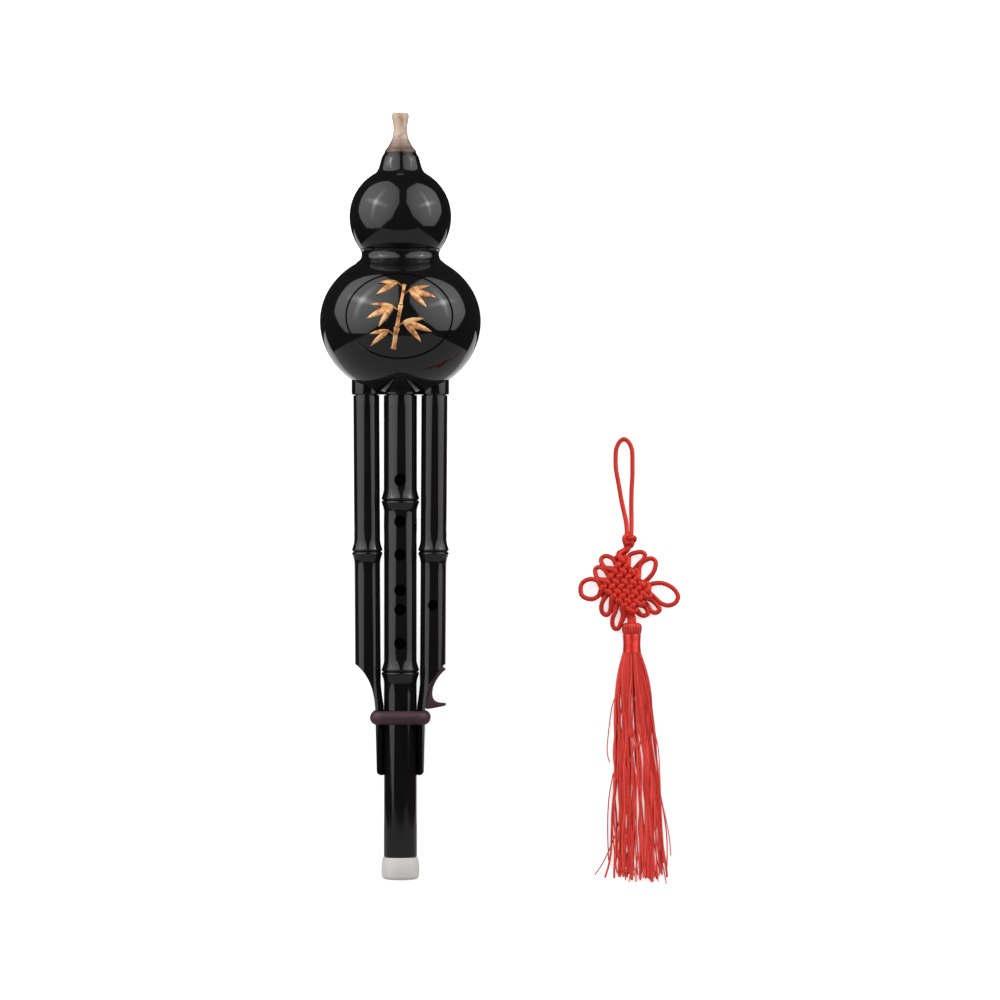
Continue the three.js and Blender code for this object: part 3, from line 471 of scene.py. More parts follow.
def yarn(name, dark, light, metallic):
    """Silky thread laid in a fine slant. The whole turns in its UVs number the threads, one shade each."""
    material, tree = new_material(name)
    place, turns = cord_place(tree)[:2]
    own = node(tree, "ShaderNodeTexWhiteNoise", noise_dimensions="1D", W=figure(tree, "FLOOR", turns))
    cloud = spread(tree, noise(tree, 900, 2, 0.6), 0.3, 0.7, 0.0, 0.2)
    share = figure(tree, "MULTIPLY_ADD", own.outputs["Value"], 0.8, cloud)
    lay = node(tree, "ShaderNodeTexWave", bands_direction="DIAGONAL", Vector=place, Scale=0.9,
               Distortion=0.6, Detail=1.0)
    surface(tree, Base_Color=ramp(tree, share, (0.0, dark), (1.0, light)), Roughness=0.27, Metallic=metallic,
            Normal=relief(tree, lay.outputs["Fac"], 0.3, 0.0001))
    return material


def wound_yarn():
    """Thread wound round and round, from the piece's own millimetres."""
    material, tree = new_material("red_winding")
    pitch = 0.42
    length = cord_place(tree)[2]
    rows = figure(tree, "SINE", figure(tree, "MULTIPLY", length, 2 * pi / pitch))
    tint = ramp(tree, noise(tree, 260, 3, 0.6), (0.3, (0.62, 0.024, 0.014)), (0.7, (0.76, 0.048, 0.032)))
    surface(tree, Base_Color=tint, Roughness=0.20, Metallic=0.60, Normal=relief(tree, rows, 0.2, 0.00006))
    return material


def simple(name, dark, light, scale, rough, metallic=0.0):
    cloud, rough_range = (scale, 5, 0.6), (rough - 0.08, rough + 0.08)
    return grained(name, [(0.3, dark), (0.7, light)], cloud, cloud, rough_range, (0.3, 0.0002), metallic)


BLACK = black_gloss()
GOLD = golden()
RESIN = resin()
MAROON = maroon()
WHITE = off_white()
CORD = satin_cord()
YARN = yarn("red_yarn", (0.54, 0.008, 0.004), (1.0, 0.110, 0.080), 0.25)
BUNDLE = yarn("red_bundle", (0.44, 0.011, 0.006), (0.64, 0.034, 0.023), 0.30)
WOUND = wound_yarn()
CORK = simple("plug_cork", (0.17, 0.085, 0.035), (0.36, 0.21, 0.10), 700.0, 0.8)
BRASS = simple("reed_brass", (0.50, 0.33, 0.10), (0.62, 0.43, 0.15), 300.0, 0.3, 1.0)
SEAL = simple("seal_rubber", (0.035, 0.018, 0.02), (0.06, 0.035, 0.035), 500.0, 0.6)


# Camera, square on the flute
AIM = TO_WORLD @ Vector((0.0534, -0.0959, 0.0))
BACK_OFF = 3.0
PICTURE_WIDTH = 0.536
SENSOR = 36.0
camera_data = bpy.data.cameras.new("camera")
camera = bpy.data.objects.new("camera", camera_data)
bpy.context.scene.collection.objects.link(camera)
camera.matrix_world = (
    Matrix.Translation(AIM) @ Matrix.Rotation(TILT, 4, "X") @ Matrix.Translation((0, 0, BACK_OFF)))
camera_data.sensor_width = SENSOR
camera_data.lens = SENSOR * BACK_OFF / PICTURE_WIDTH
camera_data.clip_end = 50.0
bpy.context.scene.camera = camera


# Hanging loop, the one free cord
CORD_R = 1.2
LOOP_ROUTE = [
    (1.3, 28.0, 4.0), (0.8, 30.4, 3.5), (0.6, 34.6, 2.2), (-0.3, 39.6, 1.25), (-1.4, 44.6, 1.22),
    (-2.3, 49.2, 1.22), (-3.0, 53.7, 1.22), (-3.8, 58.2, 1.22), (-4.6, 62.6, 1.22), (-5.1, 67.0, 1.22),
    (-5.1, 71.5, 1.22), (-4.8, 75.5, 1.22), (-3.2, 79.4, 1.22), (-0.6, 81.2, 1.22), (2.1, 79.4, 1.22),
    (3.7, 75.5, 1.22), (4.0, 71.5, 1.22), (4.0, 67.0, 1.22), (4.0, 62.6, 1.22), (3.8, 58.2, 1.22),
    (3.5, 53.7, 1.22), (3.4, 49.2, 1.22), (3.3, 44.6, 1.22), (3.4, 39.6, 1.25), (3.4, 34.6, 2.2),
    (3.3, 30.4, 3.5), (3.0, 28.0, 4.0),
]
loop_points = [Vector(p) for p in bend_through(LOOP_ROUTE, 8)]
hanging_loop = merged("hanging_loop_cord", [cord_data(loop_points, CORD_R, 14)], TASSEL)
dress(hanging_loop, "tassel", "red_cord", CORD, "hanging_loop")


# Gourd
def bulb_arc(bulb, foot, top, steps):
    """A bulb's outline from its radius at the foot up to its radius at the top."""
    out = []
    for angle in evenly(steps, -acos(foot / bulb["radius"]), acos(top / bulb["radius"])):
        reach = bulb["drop"] if angle < 0 else bulb["rise"]
        out.append((bulb["radius"] * cos(angle), bulb["centre"] + reach * sin(angle)))
    return out


def grown(bulb, by):
    return {"radius": bulb["radius"] + by, "rise": bulb["rise"] + by,
            "drop": bulb["drop"] + by, "centre": bulb["centre"]}


def on_bulb(x, y, lift):
    """The point of the lower bulb's front over [x, y], lifted off its skin."""
    bulb = grown(LOWER, lift)
    reach = bulb["rise"] if y > 0 else bulb["drop"]
    flat = (y / reach) ** 2 + (x / bulb["radius"]) ** 2
    return Vector((x, y, bulb["radius"] * sqrt(max(0.0, 1 - flat))))


def groove_cutter():
    """A rounded groove round the oval on the front of the lower bulb."""
    half, side_depth, depth, above = 0.45, 0.45, 0.75, 1.0
    across = [(-half, above), (-half, 0.0), (-half, -side_depth), (0.0, -depth)]
    across += [(half, -side_depth), (half, 0.0), (half, above)]
    count = 160
    verts = []
    for grow, lift in across:
        for a in around(count):
            x = (OVAL_HALF_WIDTH + grow) * cos(a)
            y = OVAL_CENTRE + (OVAL_HALF_HEIGHT + grow) * sin(a)
            verts.append(on_bulb(x, y, lift))
    return face_outwards(mesh_object("groove_cutter", verts, sheet(len(across), count, closed=True), FLUTE))


def lower_gourd():
    """The large bulb, drawn in through a soft saddle to the waist's collar, and hollow."""
    opening = 17.7
    outline = bulb_arc(LOWER, 0.0, WAIST + 3.3, 90)
    outline[0] = (0.0, outline[0][1])
    saddle = [(2.1, -6.7), (1.05, -5.85), (0.42, -5.0), (0.1, -4.1), (-0.05, -3.1), (-0.04, -2.1),
              (0.22, -1.1), (WAIST_STEP, -0.12)]
    saddle = [outline[-1]] + [(WAIST + out, COLLAR_TOP + up) for out, up in saddle]
    rim = [(WAIST + WAIST_STEP - 0.15, COLLAR_TOP), (opening, COLLAR_TOP)]
    inside = bulb_arc(grown(LOWER, -WALL), 0.0, opening, 40)[::-1]
    inside[-1] = (0.0, inside[-1][1])
    body = lathe("lower_gourd_shell", outline + bend_through(saddle, 5)[1:] + rim + inside, 160, FLUTE)
    return carve(body, [groove_cutter()] + seat_blocks(FIT, SEAT_FACE - 1, SEAT_TOP, 0.01))


def upright(name, radius, x, low, high, sides, lip=0.0):
    """An upright cylinder at a place across the seat, with softened edges if it has a lip."""
    outline = [(0.0, low), (radius, low), (radius, high), (0.0, high)]
    if lip:
        outline = rounded(outline, {1: lip, 2: lip})
    return lathe(name, outline, sides, FLUTE @ Matrix.Translation((x, 0, 0)))


SEATS = [(MAIN["tenon"], 2.05, 0)]
SEATS += [(DRONE["tenon"], 1.9, x) for x in (-DRONE_SPACING, DRONE_SPACING)]


def seat_blocks(grow, low, high, lip):
    """The three bosses and the web that joins them, each a closed solid."""
    web_half, web_inset = 4 + grow, 0.02
    blocks = [upright("boss", tenon + wall + grow, x, low, high, 72, lip) for tenon, wall, x in SEATS]
    web = slab("web", DRONE_SPACING, low + web_inset, high - web_inset, -web_half, web_half, FLUTE)
    return blocks + [web]


def pipe_seat():
    body, *others = seat_blocks(0.0, SEAT_FACE, SEAT_TOP, 0.45)
    body.name = "pipe_seat_block"
    carve(body, others, "UNION")
    low, high = SEAT_FACE - 1, SEAT_TOP + 1
    return carve(body, [upright("bore", tenon + FIT, x, low, high, 64) for tenon, wall, x in SEATS])


def upper_gourd():
    """The small bulb with its neck, and the spigot that stands in the waist."""
    spigot, bore, spigot_length = 17.4, 15.4, 7
    neck_bore = MOUTH_TENON + FIT
    outer = bulb_arc(UPPER, WAIST + WAIST_STEP, NECK_FOOT + 1.4, 80)
    neck = curve(outer[-1], (NECK_FOOT - 0.1, NECK_ROOT + 0.15), (NECK_FOOT - 0.95, NECK_ROOT + 2.6), 10)
    neck += curve((10.35, NECK_TOP - 3.9), (10.1, NECK_TOP - 2.4), (9.45, NECK_TOP - 1.4), 8)
    rim_turn = (NECK_TOP_R, NECK_TOP - 0.6)
    neck += curve((9.2, NECK_TOP - 1.05), rim_turn, (NECK_TOP_R - 0.1, NECK_TOP - 0.2), 5)
    neck += [(NECK_TOP_R - 0.3, NECK_TOP), (neck_bore, NECK_TOP)]
    inside = bulb_arc(grown(UPPER, -WALL), bore, neck_bore, 36)[::-1]
    foot = [(bore, UPPER_FOOT - spigot_length), (spigot, UPPER_FOOT - spigot_length), (spigot, UPPER_FOOT)]
    foot.append((WAIST + WAIST_STEP - 0.15, UPPER_FOOT))
    return lathe("upper_gourd_shell", foot + outer[1:] + neck[1:] + inside + [foot[0]], 160, FLUTE)


dress(upper_gourd(), "flute", "black_gloss", BLACK, "upper_gourd")
dress(lower_gourd(), "flute", "black_gloss", BLACK, "lower_gourd")
dress(pipe_seat(), "flute", "black_gloss", BLACK, "pipe_seat")


# Mouthpiece: its radius at shares of its height
MOUTH_SHAPE = [
    (8.6, 0.0), (8.15, 0.055), (6.8, 0.13), (5.75, 0.215), (4.85, 0.30), (4.2, 0.385), (3.86, 0.48),
    (3.75, 0.58), (3.82, 0.68), (4.1, 0.77), (4.42, 0.85), (4.58, 0.90), (4.55, 0.94),
]


def mouthpiece():
    bore, lip, length = 1.7, 2.1, 21.2
    foot = NECK_TOP + FIT
    top = foot + length
    low = NECK_TOP - MOUTH_TENON_LENGTH
    side = [(r, foot + length * t) for r, t in bend_through(MOUTH_SHAPE, 6)]
    rim = curve(side[-1], (4.45, top), (3.1, top), 8)[1:]
    hole = [(lip, top), (bore, top - 0.5), (bore, low)]
    tenon = [(bore, low), (MOUTH_TENON, low), (MOUTH_TENON, foot)]
    return lathe("mouthpiece_turned", tenon + side + rim + hole, 96, FLUTE)


dress(mouthpiece(), "mouthpiece_piece", "cream_resin", RESIN, "mouthpiece")


# Pipes
def joint_outline(height, radius):
    """A turned bamboo joint: two soft lips with a cut between them."""
    lip = radius + LIP_RISE
    half = [(radius + LIP_RISE * (1 - share) ** 1.7, 1.25 + 5.2 * share)
            for share in (1.0, 0.8, 0.62, 0.46, 0.32, 0.2, 0.1, 0.02)]
    half += [(lip, 1.22), (lip, 0.72), (lip - 0.18, 0.42), (lip - 0.65, 0.16), (lip - 0.8, 0.0)]
    return [(r, height - y) for r, y in half] + [(r, height + y) for r, y in half[-2::-1]]


def straight(a, b):
    """The points of a straight stretch, about 6 mm apart and without its end."""
    steps = max(1, round(abs(b[1] - a[1]) / 6.0))
    return [(a[0] + (b[0] - a[0]) * i / steps, a[1] + (b[1] - a[1]) * i / steps) for i in range(steps)]


def pipe_body(name, pipe, matrix):
    """A bored pipe from its open end up its joints to the shoulder, and its tenon with the seal's groove."""
    radius, bore, tenon = pipe["radius"], pipe["bore"], pipe["tenon"]
    shoulder = SEAT_FACE - FIT
    end = SEAT_FACE - pipe["length"]
    top = SEAT_FACE + pipe["inside"]
    low, high, depth = SEAT_FACE + 5, SEAT_FACE + 7.6, 1
    lip, shoulder_lip = 0.4, 0.35
    outline = rounded([(bore, end + 2), (bore, end), (radius, end), (radius, end + 2)], {1: lip, 2: lip})
    for distance in pipe["joints"]:
        joint = joint_outline(SEAT_FACE - distance, radius)
        outline += straight(outline[-1], joint[0])[1:] + joint
    outline += straight(outline[-1], (radius, shoulder))[1:]
    step = [(radius, shoulder - 1), (radius, shoulder), (tenon, shoulder), (tenon, shoulder + 3)]
    outline += rounded(step, {1: shoulder_lip})[1:]
    outline += [(tenon, low), (tenon - depth, low), (tenon - depth, high), (tenon, high)]
    outline += [(tenon, top), (bore, top)]
    return lathe(name, outline + [outline[0]], 96, matrix)


def hole_cutter(radius, pipe, distance, side, matrix):
    """Cuts a round hole with a soft edge, in front (side 1) or behind (side -1)."""
    skin = pipe["radius"]
    bevel, depth, height = 0.45, 1.6, 1.75
    edge = [(radius + bevel * t ** 2.2, skin - depth + height * t) for t in evenly(6)]
    outline = [(0.0, 0.0), (radius, 0.0)] + edge + [(radius + bevel + 0.12, skin + 1.2), (0.0, skin + 1.2)]
    at = matrix @ Matrix.Translation((0, SEAT_FACE - distance, 0))
    return lathe("hole", outline, 48, at @ Matrix.Rotation(side * pi / 2, 4, "X"))


def reed_window(pipe, width, flat, matrix):
    """Cuts the flat that the reed lies on, and the slot under its tongue."""
    tenon, below_top, flat_reach, slot_reach = pipe["tenon"], 22, 13.3, 10
    middle = SEAT_FACE + pipe["inside"] - below_top
    cuts = ((tenon, flat_reach, tenon - flat, tenon + flat), (width / 2, slot_reach, 0.0, tenon + 1))
    return [slab("window", half, middle - reach, middle + reach, back, front, matrix)
            for half, reach, back, front in cuts]


def main_pipe():
    finger, sound, tongue_width, flat = 3.0, 2.4, 4.6, 1.4
    holes = [(finger, distance, 1) for distance in (45.8, 68.1, 85.8, 104.8, 115.2, 133.2)]
    holes += [(finger, 33, -1), (sound, 190, -1), (sound, 214, -1)]
    cutters = [hole_cutter(radius, MAIN, distance, side, FLUTE) for radius, distance, side in holes]
    cutters += reed_window(MAIN, tongue_width, flat, FLUTE)
    return carve(pipe_body("main_pipe_tube", MAIN, FLUTE), cutters)


def drone_matrix(side):
    turn = -side * LEAN
    across = side * DRONE_SPACING + SEAT_FACE * sin(turn)
    at = Matrix.Translation((across, SEAT_FACE * (1 - cos(turn)), 0))
    return FLUTE @ at @ Matrix.Rotation(turn, 4, "Z")


def cut_curve(gap, steps, start=0.0, end=1.0):
    """The slanting cut of a drone's end, as [out from its axis, down from the seat]."""
    high, corner, low = (DRONE["radius"] + gap, 144.2), (-3.6 + gap, 151.5), (-TONGUE_FACE + gap, 170.0)
    return curve(high, corner, low, steps, start, end)


def end_cutter(side, matrix):
    """Cuts the drone's end down to a thin tongue with a rounded corner."""
    far, start, length, turn = DRONE["radius"] + 1.5, 143.6, DRONE["length"], 2.2
    outline = [(far, start)] + cut_curve(0, 40)
    for a in evenly(6, 0.0, pi / 2):
        outline.append((-TONGUE_FACE - 0.4 - turn * (1 - cos(a)), length - turn + turn * sin(a)))
    outline += [(outline[-1][0], length + 1), (far, length + 1)]
    return prism("end_cutter", [(side * out, SEAT_FACE - down) for out, down in outline], -far, far, matrix)


def squeeze_tongue(obj, matrix, side):
    """The ring presses the drone's thin end in until it meets the melody pipe."""
    start, held, press = 155.0, 169.0, 0.03
    back = matrix.inverted()
    for vertex in obj.data.vertices:
        p = back @ vertex.co
        down = SEAT_FACE - p.y
        share = min(1.0, max(0.0, (down - start) / (held - start)))
        share = share * share * (3 - 2 * share)
        depth = min(1.0, max(0.0, (-TONGUE_FACE - side * p.x) / (DRONE["radius"] - TONGUE_FACE)))
        push = DRONE_SPACING - DRONE["radius"] - down * tan(LEAN) - MAIN["radius"] + press
        p.x -= side * push * share * depth
        vertex.co = matrix @ p
    obj.data.update()


def drone(name, side):
    hole, hole_down, tongue_width, flat = 2.6, 112.8, 3.0, 1.1
    matrix = drone_matrix(side)
    body = pipe_body(name, DRONE, matrix)
    cutters = [end_cutter(side, matrix)]
    if side > 0:
        cutters.append(hole_cutter(hole, DRONE, hole_down, 1, matrix))
        cutters += reed_window(DRONE, tongue_width, flat, matrix)
    carve(body, cutters)
    squeeze_tongue(body, matrix, side)
    return body


dress(main_pipe(), "melody_pipe", "black_gloss", BLACK, "main_pipe")
dress(drone("left_drone_tube", -1), "flute", "black_gloss", BLACK, "left_drone_pipe")
dress(drone("right_drone_tube", 1), "flute", "black_gloss", BLACK, "right_drone_pipe")


# Ring, stopper, cap
def swept_band():
    """A soft band of D-shaped section round the melody pipe and the drones' tongues."""
    half_w = DRONE_SPACING - RING_CENTRE * tan(LEAN) - TONGUE_FACE + FIT
    half_h = MAIN["radius"] + FIT
    corner, turns, lengths = 4.4, 16, 8
    quarters = [(1, 1), (-1, 1), (-1, -1), (1, -1)]
    centres = [Vector((x * (half_w - corner), y * (half_h - corner))) for x, y in quarters]
    path = []
    for i, centre in enumerate(centres):
        following = centres[(i + 1) % 4]
        path += [(centre, a) for a in evenly(turns, pi * i / 2, pi * (i + 1) / 2)]
        path += [(centre.lerp(following, share), pi * (i + 1) / 2) for share in evenly(lengths)[1:-1]]
    round_face, thick = 3.9, 2.6
    widest = acos((round_face - thick) / round_face)
    section = []
    for a in evenly(24, -widest, widest):
        section.append((thick - round_face * (1 - cos(a)), round_face * sin(a)))
    verts = []
    for centre, a in path:
        for out, up in section:
            p = centre + Vector((cos(a), sin(a))) * (corner + out)
            verts.append(Vector((p.x, SEAT_FACE - RING_CENTRE + up, p.y)))
    faces = sheet(len(path), len(section), closed=True)
    return face_outwards(mesh_object("binding_ring_band", verts, faces, FLUTE, angle=50))


# The stopper's outline beyond the cut, as [out from the drone's axis, down from the seat]
BRIM = [(7.15, 166.45), (5.3, 166.9), (3.2, 167.35), (1.0, 167.8), (-1.3, 168.2), (-3.45, 168.4)]
HOLLOW = [
    (7.15, 165.4), (5.4, 165.25), (3.4, 165.05), (2.0, 164.6), (0.9, 163.8), (0.2, 162.6), (-0.15, 161.1),
    (-0.1, 159.3), (0.25, 157.1), (1.3, 154.4), (2.9, 151.6), (4.7, 149.3), (6.0, 148.1), (7.0, 147.2)]


def stopper():
    """A curved rubber saddle on the drone's slanting cut, hollowed for a finger."""
    steps, half, bevel = 5, 5.5, 0.45
    inner = bend_through(BRIM, steps) + cut_curve(0.04, 40, 0.09, 0.955)[::-1][1:]
    outer = bend_through(HOLLOW, steps)
    rows = []
    for a in evenly(4, 0.0, pi / 2):
        rows.append((bevel * (1 - sin(a)), -half + bevel * (1 - cos(a))))
    rows += [(inset, -z) for inset, z in rows[::-1]]
    verts = []
    for inset, z in rows:
        near, far = [], []
        for a, b in zip(inner, outer):
            p, q = Vector(a), Vector(b)
            share = min(0.45, inset / max(0.01, (q - p).length))
            near.append(p.lerp(q, share))
            far.append(q.lerp(p, share))
        verts += [Vector((p.x, SEAT_FACE - p.y, z)) for p in near + far[::-1]]
    count = len(inner)
    ring = 2 * count
    faces = sheet(len(rows), ring)
    for base in (0, (len(rows) - 1) * ring):
        for i in range(count - 1):
            faces.append((base + i, base + i + 1, base + ring - 2 - i, base + ring - 1 - i))
    return face_outwards(mesh_object("drone_stopper_saddle", verts, faces, drone_matrix(1), angle=50))


def end_cap():
    height, plug_radius, plug_length = 11.9, 5.4, 9
    top = SEAT_FACE - MAIN["length"] - FIT
    low, plug_top = top - height, top + plug_length
    side = bend_through([(9.95, low + 2.0), (10.15, low + 4.0), (10.15, low + 6.4), (9.95, low + 8.8),
                         (9.65, low + 10.8)], 6)
    foot = [(0.0, low), (5.0, low)] + curve((7.6, low + 0.02), (9.6, low + 0.1), side[0], 12)
    rim = curve(side[-1], (9.6, top - 0.1), (9.2, top - 0.02), 6)
    inner = [(plug_radius, top), (plug_radius, plug_top), (0.0, plug_top)]
    return lathe("end_cap_moulding", foot + side[1:] + rim[1:] + inner, 96, FLUTE)


dress(swept_band(), "flute", "maroon_rubber", MAROON, "binding_ring")
dress(stopper(), "stopper", "maroon_rubber", MAROON, "drone_stopper")
dress(end_cap(), "cap", "white_plastic", WHITE, "end_cap")


# Golden sprig. Each leaf: share up the stalk, side, turn in degrees, size
LEAVES = [
    (0.2, -1, -36, 0.8), (0.2, -1, -4, 0.65), (0.33, 1, -46, 0.9), (0.33, 1, -16, 1.0), (0.33, 1, 14, 0.7),
    (0.56, -1, -52, 0.85), (0.56, -1, -22, 1.0), (0.56, -1, 10, 0.75), (0.8, 1, -42, 0.85),
    (0.8, 1, -12, 0.95), (0.8, 1, 18, 0.7), (0.92, -1, -28, 0.85), (0.92, -1, 4, 0.65),
]
SPRIG_HEIGHT, SPRIG_LEAN = 36.0, 0.17


def ribbon(spine, widths, lift, crown):
    """A thin raised strip laid on the bulb: a spine of [x, y], half widths, and a crowned top."""
    sunk = -0.05
    last = len(spine) - 1
    section = [(s, lift + crown * sqrt(max(0.0, 1 - s * s))) for s in evenly(6, -1.0)]
    section += [(1, sunk), (-1, sunk)]
    verts = []
    for i, ((x, y), half) in enumerate(zip(spine, widths)):
        a, b = spine[max(i - 1, 0)], spine[min(i + 1, last)]
        along = Vector((b[0] - a[0], b[1] - a[1])).normalized()
        verts += [on_bulb(x - along.y * half * s, y + along.x * half * s, height) for s, height in section]
    faces = sheet(len(spine), len(section)) + ends(len(spine), len(section))
    return verts, faces, [(0.0, 0.0)] * sum(len(face) for face in faces)


def stalk_at(share):
    return SPRIG_HEIGHT * SPRIG_LEAN * (share - 0.5), OVAL_CENTRE - SPRIG_HEIGHT / 2 + share * SPRIG_HEIGHT


def stalk(low, high):
    """One length of the stalk between two of its joints, swollen at both ends."""
    width = 2.6 * (1 - low / 2) / 2
    swelling = [(0.02, 1.22), (0.06, 1.0), (0.2, 0.92), (0.35, 0.9), (0.5, 0.9), (0.65, 0.92), (0.8, 1.0),
                (0.94, 1.22), (0.985, 1.22)]
    spine = [stalk_at(low + (high - low) * t) for t, wide in swelling]
    return ribbon(spine, [width * wide for t, wide in swelling], 0.2, 0.45)


def leaf(share, side, turn, size):
    """A twig and the leaf at its tip."""
    reach, length, half = SPRIG_HEIGHT * 0.13, 15.5 * size, 4.2 * size / 2
    angle = radians(turn) if side > 0 else pi - radians(turn)
    x, y = stalk_at(share)
    tip_x, tip_y = x + side * reach * 0.8, y + reach * 0.6
    twig = [(x + (tip_x - x) * t, y + (tip_y - y) * t) for t in (0, 0.25, 0.5, 0.75, 1.0, 1.1)]
    spine, widths = [], []
    for t in evenly(18):
        droop = -side * 0.9 * t * t
        spine.append((tip_x + cos(angle) * length * t - sin(angle) * droop,
                      tip_y + sin(angle) * length * t + cos(angle) * droop))
        widths.append(max(0.06, half * 1.95 * (t + 0.05) ** 0.55 * (1 - t) ** 0.85))
    return [ribbon(twig, [0.5, 0.42, 0.4, 0.42, 0.5, 0.4], 0.15, 0.3), ribbon(spine, widths, 0.18, 0.42)]


def sprig():
    joints = [0.0, 0.33, 0.66, 0.97]
    parts = [stalk(low, high) for low, high in zip(joints, joints[1:])]
    for row in LEAVES:
        parts += leaf(*row)
    return face_outwards(merged("emblem_sprig_relief", parts, FLUTE))


dress(sprig(), "flute", "golden_relief", GOLD, "emblem_sprig")


# Knot
CORNERS = {"top": (-2.4, 18.1), "right": (14.0, -2.4), "foot": (2.4, -14.3), "left": (-14.6, -0.5)}
LINES = 6
RISE, FLAT_HALF = 1.02, 0.98
BACK_Z, FRONT_Z = 2.08, 6.06
PASS_ASIDE = 0.82
MAT_HALF_WIDTH = 1.64
FRONT_HALF_HEIGHT, BACK_HALF_HEIGHT = 1.22, 1.05
EAR_R = 1.25
TASSEL_AXIS = 3.3
BUTTON_AT = Vector((2.0, 25.6, 4.0))
DOME_R, DOME_TOP, DOME_LENGTH = 5.45, -19.2, 6.2
LYING = TASSEL @ Matrix.Translation((TASSEL_AXIS, 0, DOME_R))
BAND_TOP = DOME_TOP - DOME_LENGTH - FIT
BAND_LENGTH = 10.0

FRONT_EARS = {
    "first": [
        [(-6.8, 15.7), (-10.5, 17.3), (-12.8, 16.2), (-13.1, 14.3), (-11.3, 11.1)],
        [(-11.9, 10.2), (-14.2, 11.3), (-16.2, 10.3), (-16.3, 8.1), (-14.9, 4.9)]],
    "corner": [
        (-14.9, 3.3), (-17.6, 4.6), (-20.8, 4.3), (-23.5, 2.4), (-24.3, -0.8),
        (-23.5, -4.1), (-20.8, -5.8), (-17.6, -6.1), (-14.6, -4.4)],
    "second": [
        [(-12.2, -7.3), (-13.1, -10.5), (-12.4, -13.5), (-10.3, -14.7), (-8.6, -13.3), (-7.8, -10.5)],
        [(-5.9, -13.8), (-7.0, -17.0), (-7.0, -20.2), (-5.6, -22.2), (-3.9, -21.9), (-2.7, -19.5),
         (-1.2, -15.7)]],
}
BACK_EARS = {
    "first": [
        [(2.4, 17.8), (5.7, 19.2), (8.6, 19.5), (10.5, 18.3), (10.1, 15.9), (7.7, 13.5)],
        [(8.2, 12.8), (11.2, 15.2), (14.2, 16.0), (16.2, 14.5), (16.2, 11.3), (14.7, 7.8)]],
    "corner": [
        (13.4, 1.7), (16.5, 2.6), (20.2, 2.5), (24.0, 1.0), (27.0, -1.6),
        (28.4, -4.9), (26.8, -8.1), (23.2, -9.5), (19.4, -8.4), (15.4, -4.9)],
    "second": [
        [(14.6, -7.0), (17.3, -9.7), (18.4, -12.0), (16.3, -13.5), (13.9, -12.6), (12.0, -9.6)],
        [(10.2, -9.9), (11.7, -11.9), (12.1, -13.9), (10.0, -15.1), (7.7, -14.2), (6.2, -12.4)]],
}


def line_share(i):
    return (i + 0.5) / LINES


def knot_place(left, right):
    """A place in the woven square by its shares down the left and the right side."""
    out = []
    for axis in (0, 1):
        upper = CORNERS["top"][axis] * (1 - right) + CORNERS["right"][axis] * right
        lower = CORNERS["left"][axis] * (1 - right) + CORNERS["foot"][axis] * right
        out.append(upper * (1 - left) + lower * left)
    return out


def eased(points, height):
    """An ear leaves its layer and comes back to it, and lies lower or higher between."""
    peak = BACK_Z + 0.8
    out = []
    for i, (x, y) in enumerate(points):
        share = (i + 1) / (len(points) + 1)
        out.append((x, y, height + (peak - height) * sin(pi * share)))
    return out


def snake(place, ears, height, over):
    """Six lines to and fro, over and under the lines they cross, with ears where they turn back."""
    fold = 0.035
    a, b = place(line_share(0), 0), place(line_share(0), 1)
    flat = FLAT_HALF / hypot(b[0] - a[0], b[1] - a[1])
    points = []
    for line in range(LINES):
        forward = line % 2 == 0
        for step in range(LINES):
            crossing = step if forward else LINES - 1 - step
            side = over if (line + crossing) % 2 == 0 else -over
            reach = flat if forward else -flat
            for share in (line_share(crossing) - reach, line_share(crossing) + reach):
                points.append((*place(line_share(line), share), height + side * RISE))
        if line == LINES - 1:
            break
        if forward:
            middle = (line_share(line) + line_share(line + 1)) / 2
            points += [(*place(turn + fold, 1 + fold), height) for turn in (line_share(line), middle)]
        else:
            points += eased(ears[(line - 1) // 2], height)
    return points


def half_knot(place, ears, height, over):
    """One half of the folded cord: down the lines one way, round the corner ear and along the other way."""
    middle = (FRONT_Z + BACK_Z) / 2
    aside = -over * PASS_ASIDE
    down = snake(place, ears["first"], height, over)
    along = snake(lambda line, run: place(1 - run, line), ears["second"], height, over)
    upper = BUTTON_AT.y - 3.4
    lower = DOME_TOP - 0.6
    stem = [(aside + 1.2, upper, middle), (aside + 0.5, upper - 1.5, middle)]
    foot = [(TASSEL_AXIS + aside, lower + 2.6, middle), (TASSEL_AXIS + aside, lower, middle + 0.4)]
    start = (*place(line_share(0) / 2, -line_share(0) / 2), height)
    return stem + [start] + down + eased(ears["corner"], height) + along + foot


def blend(a, b, start, end, t):
    return a * ((end - t) / (end - start)) + b * ((t - start) / (end - start))


def centripetal(points, pitch):
    """A centripetal curve through the points, in steps of about the pitch."""
    out = []
    padded = [points[0] * 2 - points[1], *points, points[-1] * 2 - points[-2]]
    for four in zip(padded, padded[1:], padded[2:], padded[3:]):
        times = [0.0]
        for a, b in zip(four, four[1:]):
            times.append(times[-1] + max(1e-4, (b - a).length ** 0.5))
        steps = max(1, round((four[2] - four[1]).length / pitch))
        for k in range(steps):
            t = times[1] + (times[2] - times[1]) * k / steps
            level = four
            for spans in (((0, 1), (1, 2), (2, 3)), ((0, 2), (1, 3)), ((1, 2),)):
                level = [blend(a, b, times[i], times[j], t) for a, b, (i, j) in zip(level, level[1:], spans)]
            out.append(level[0])
    out.append(points[-1])
    return out


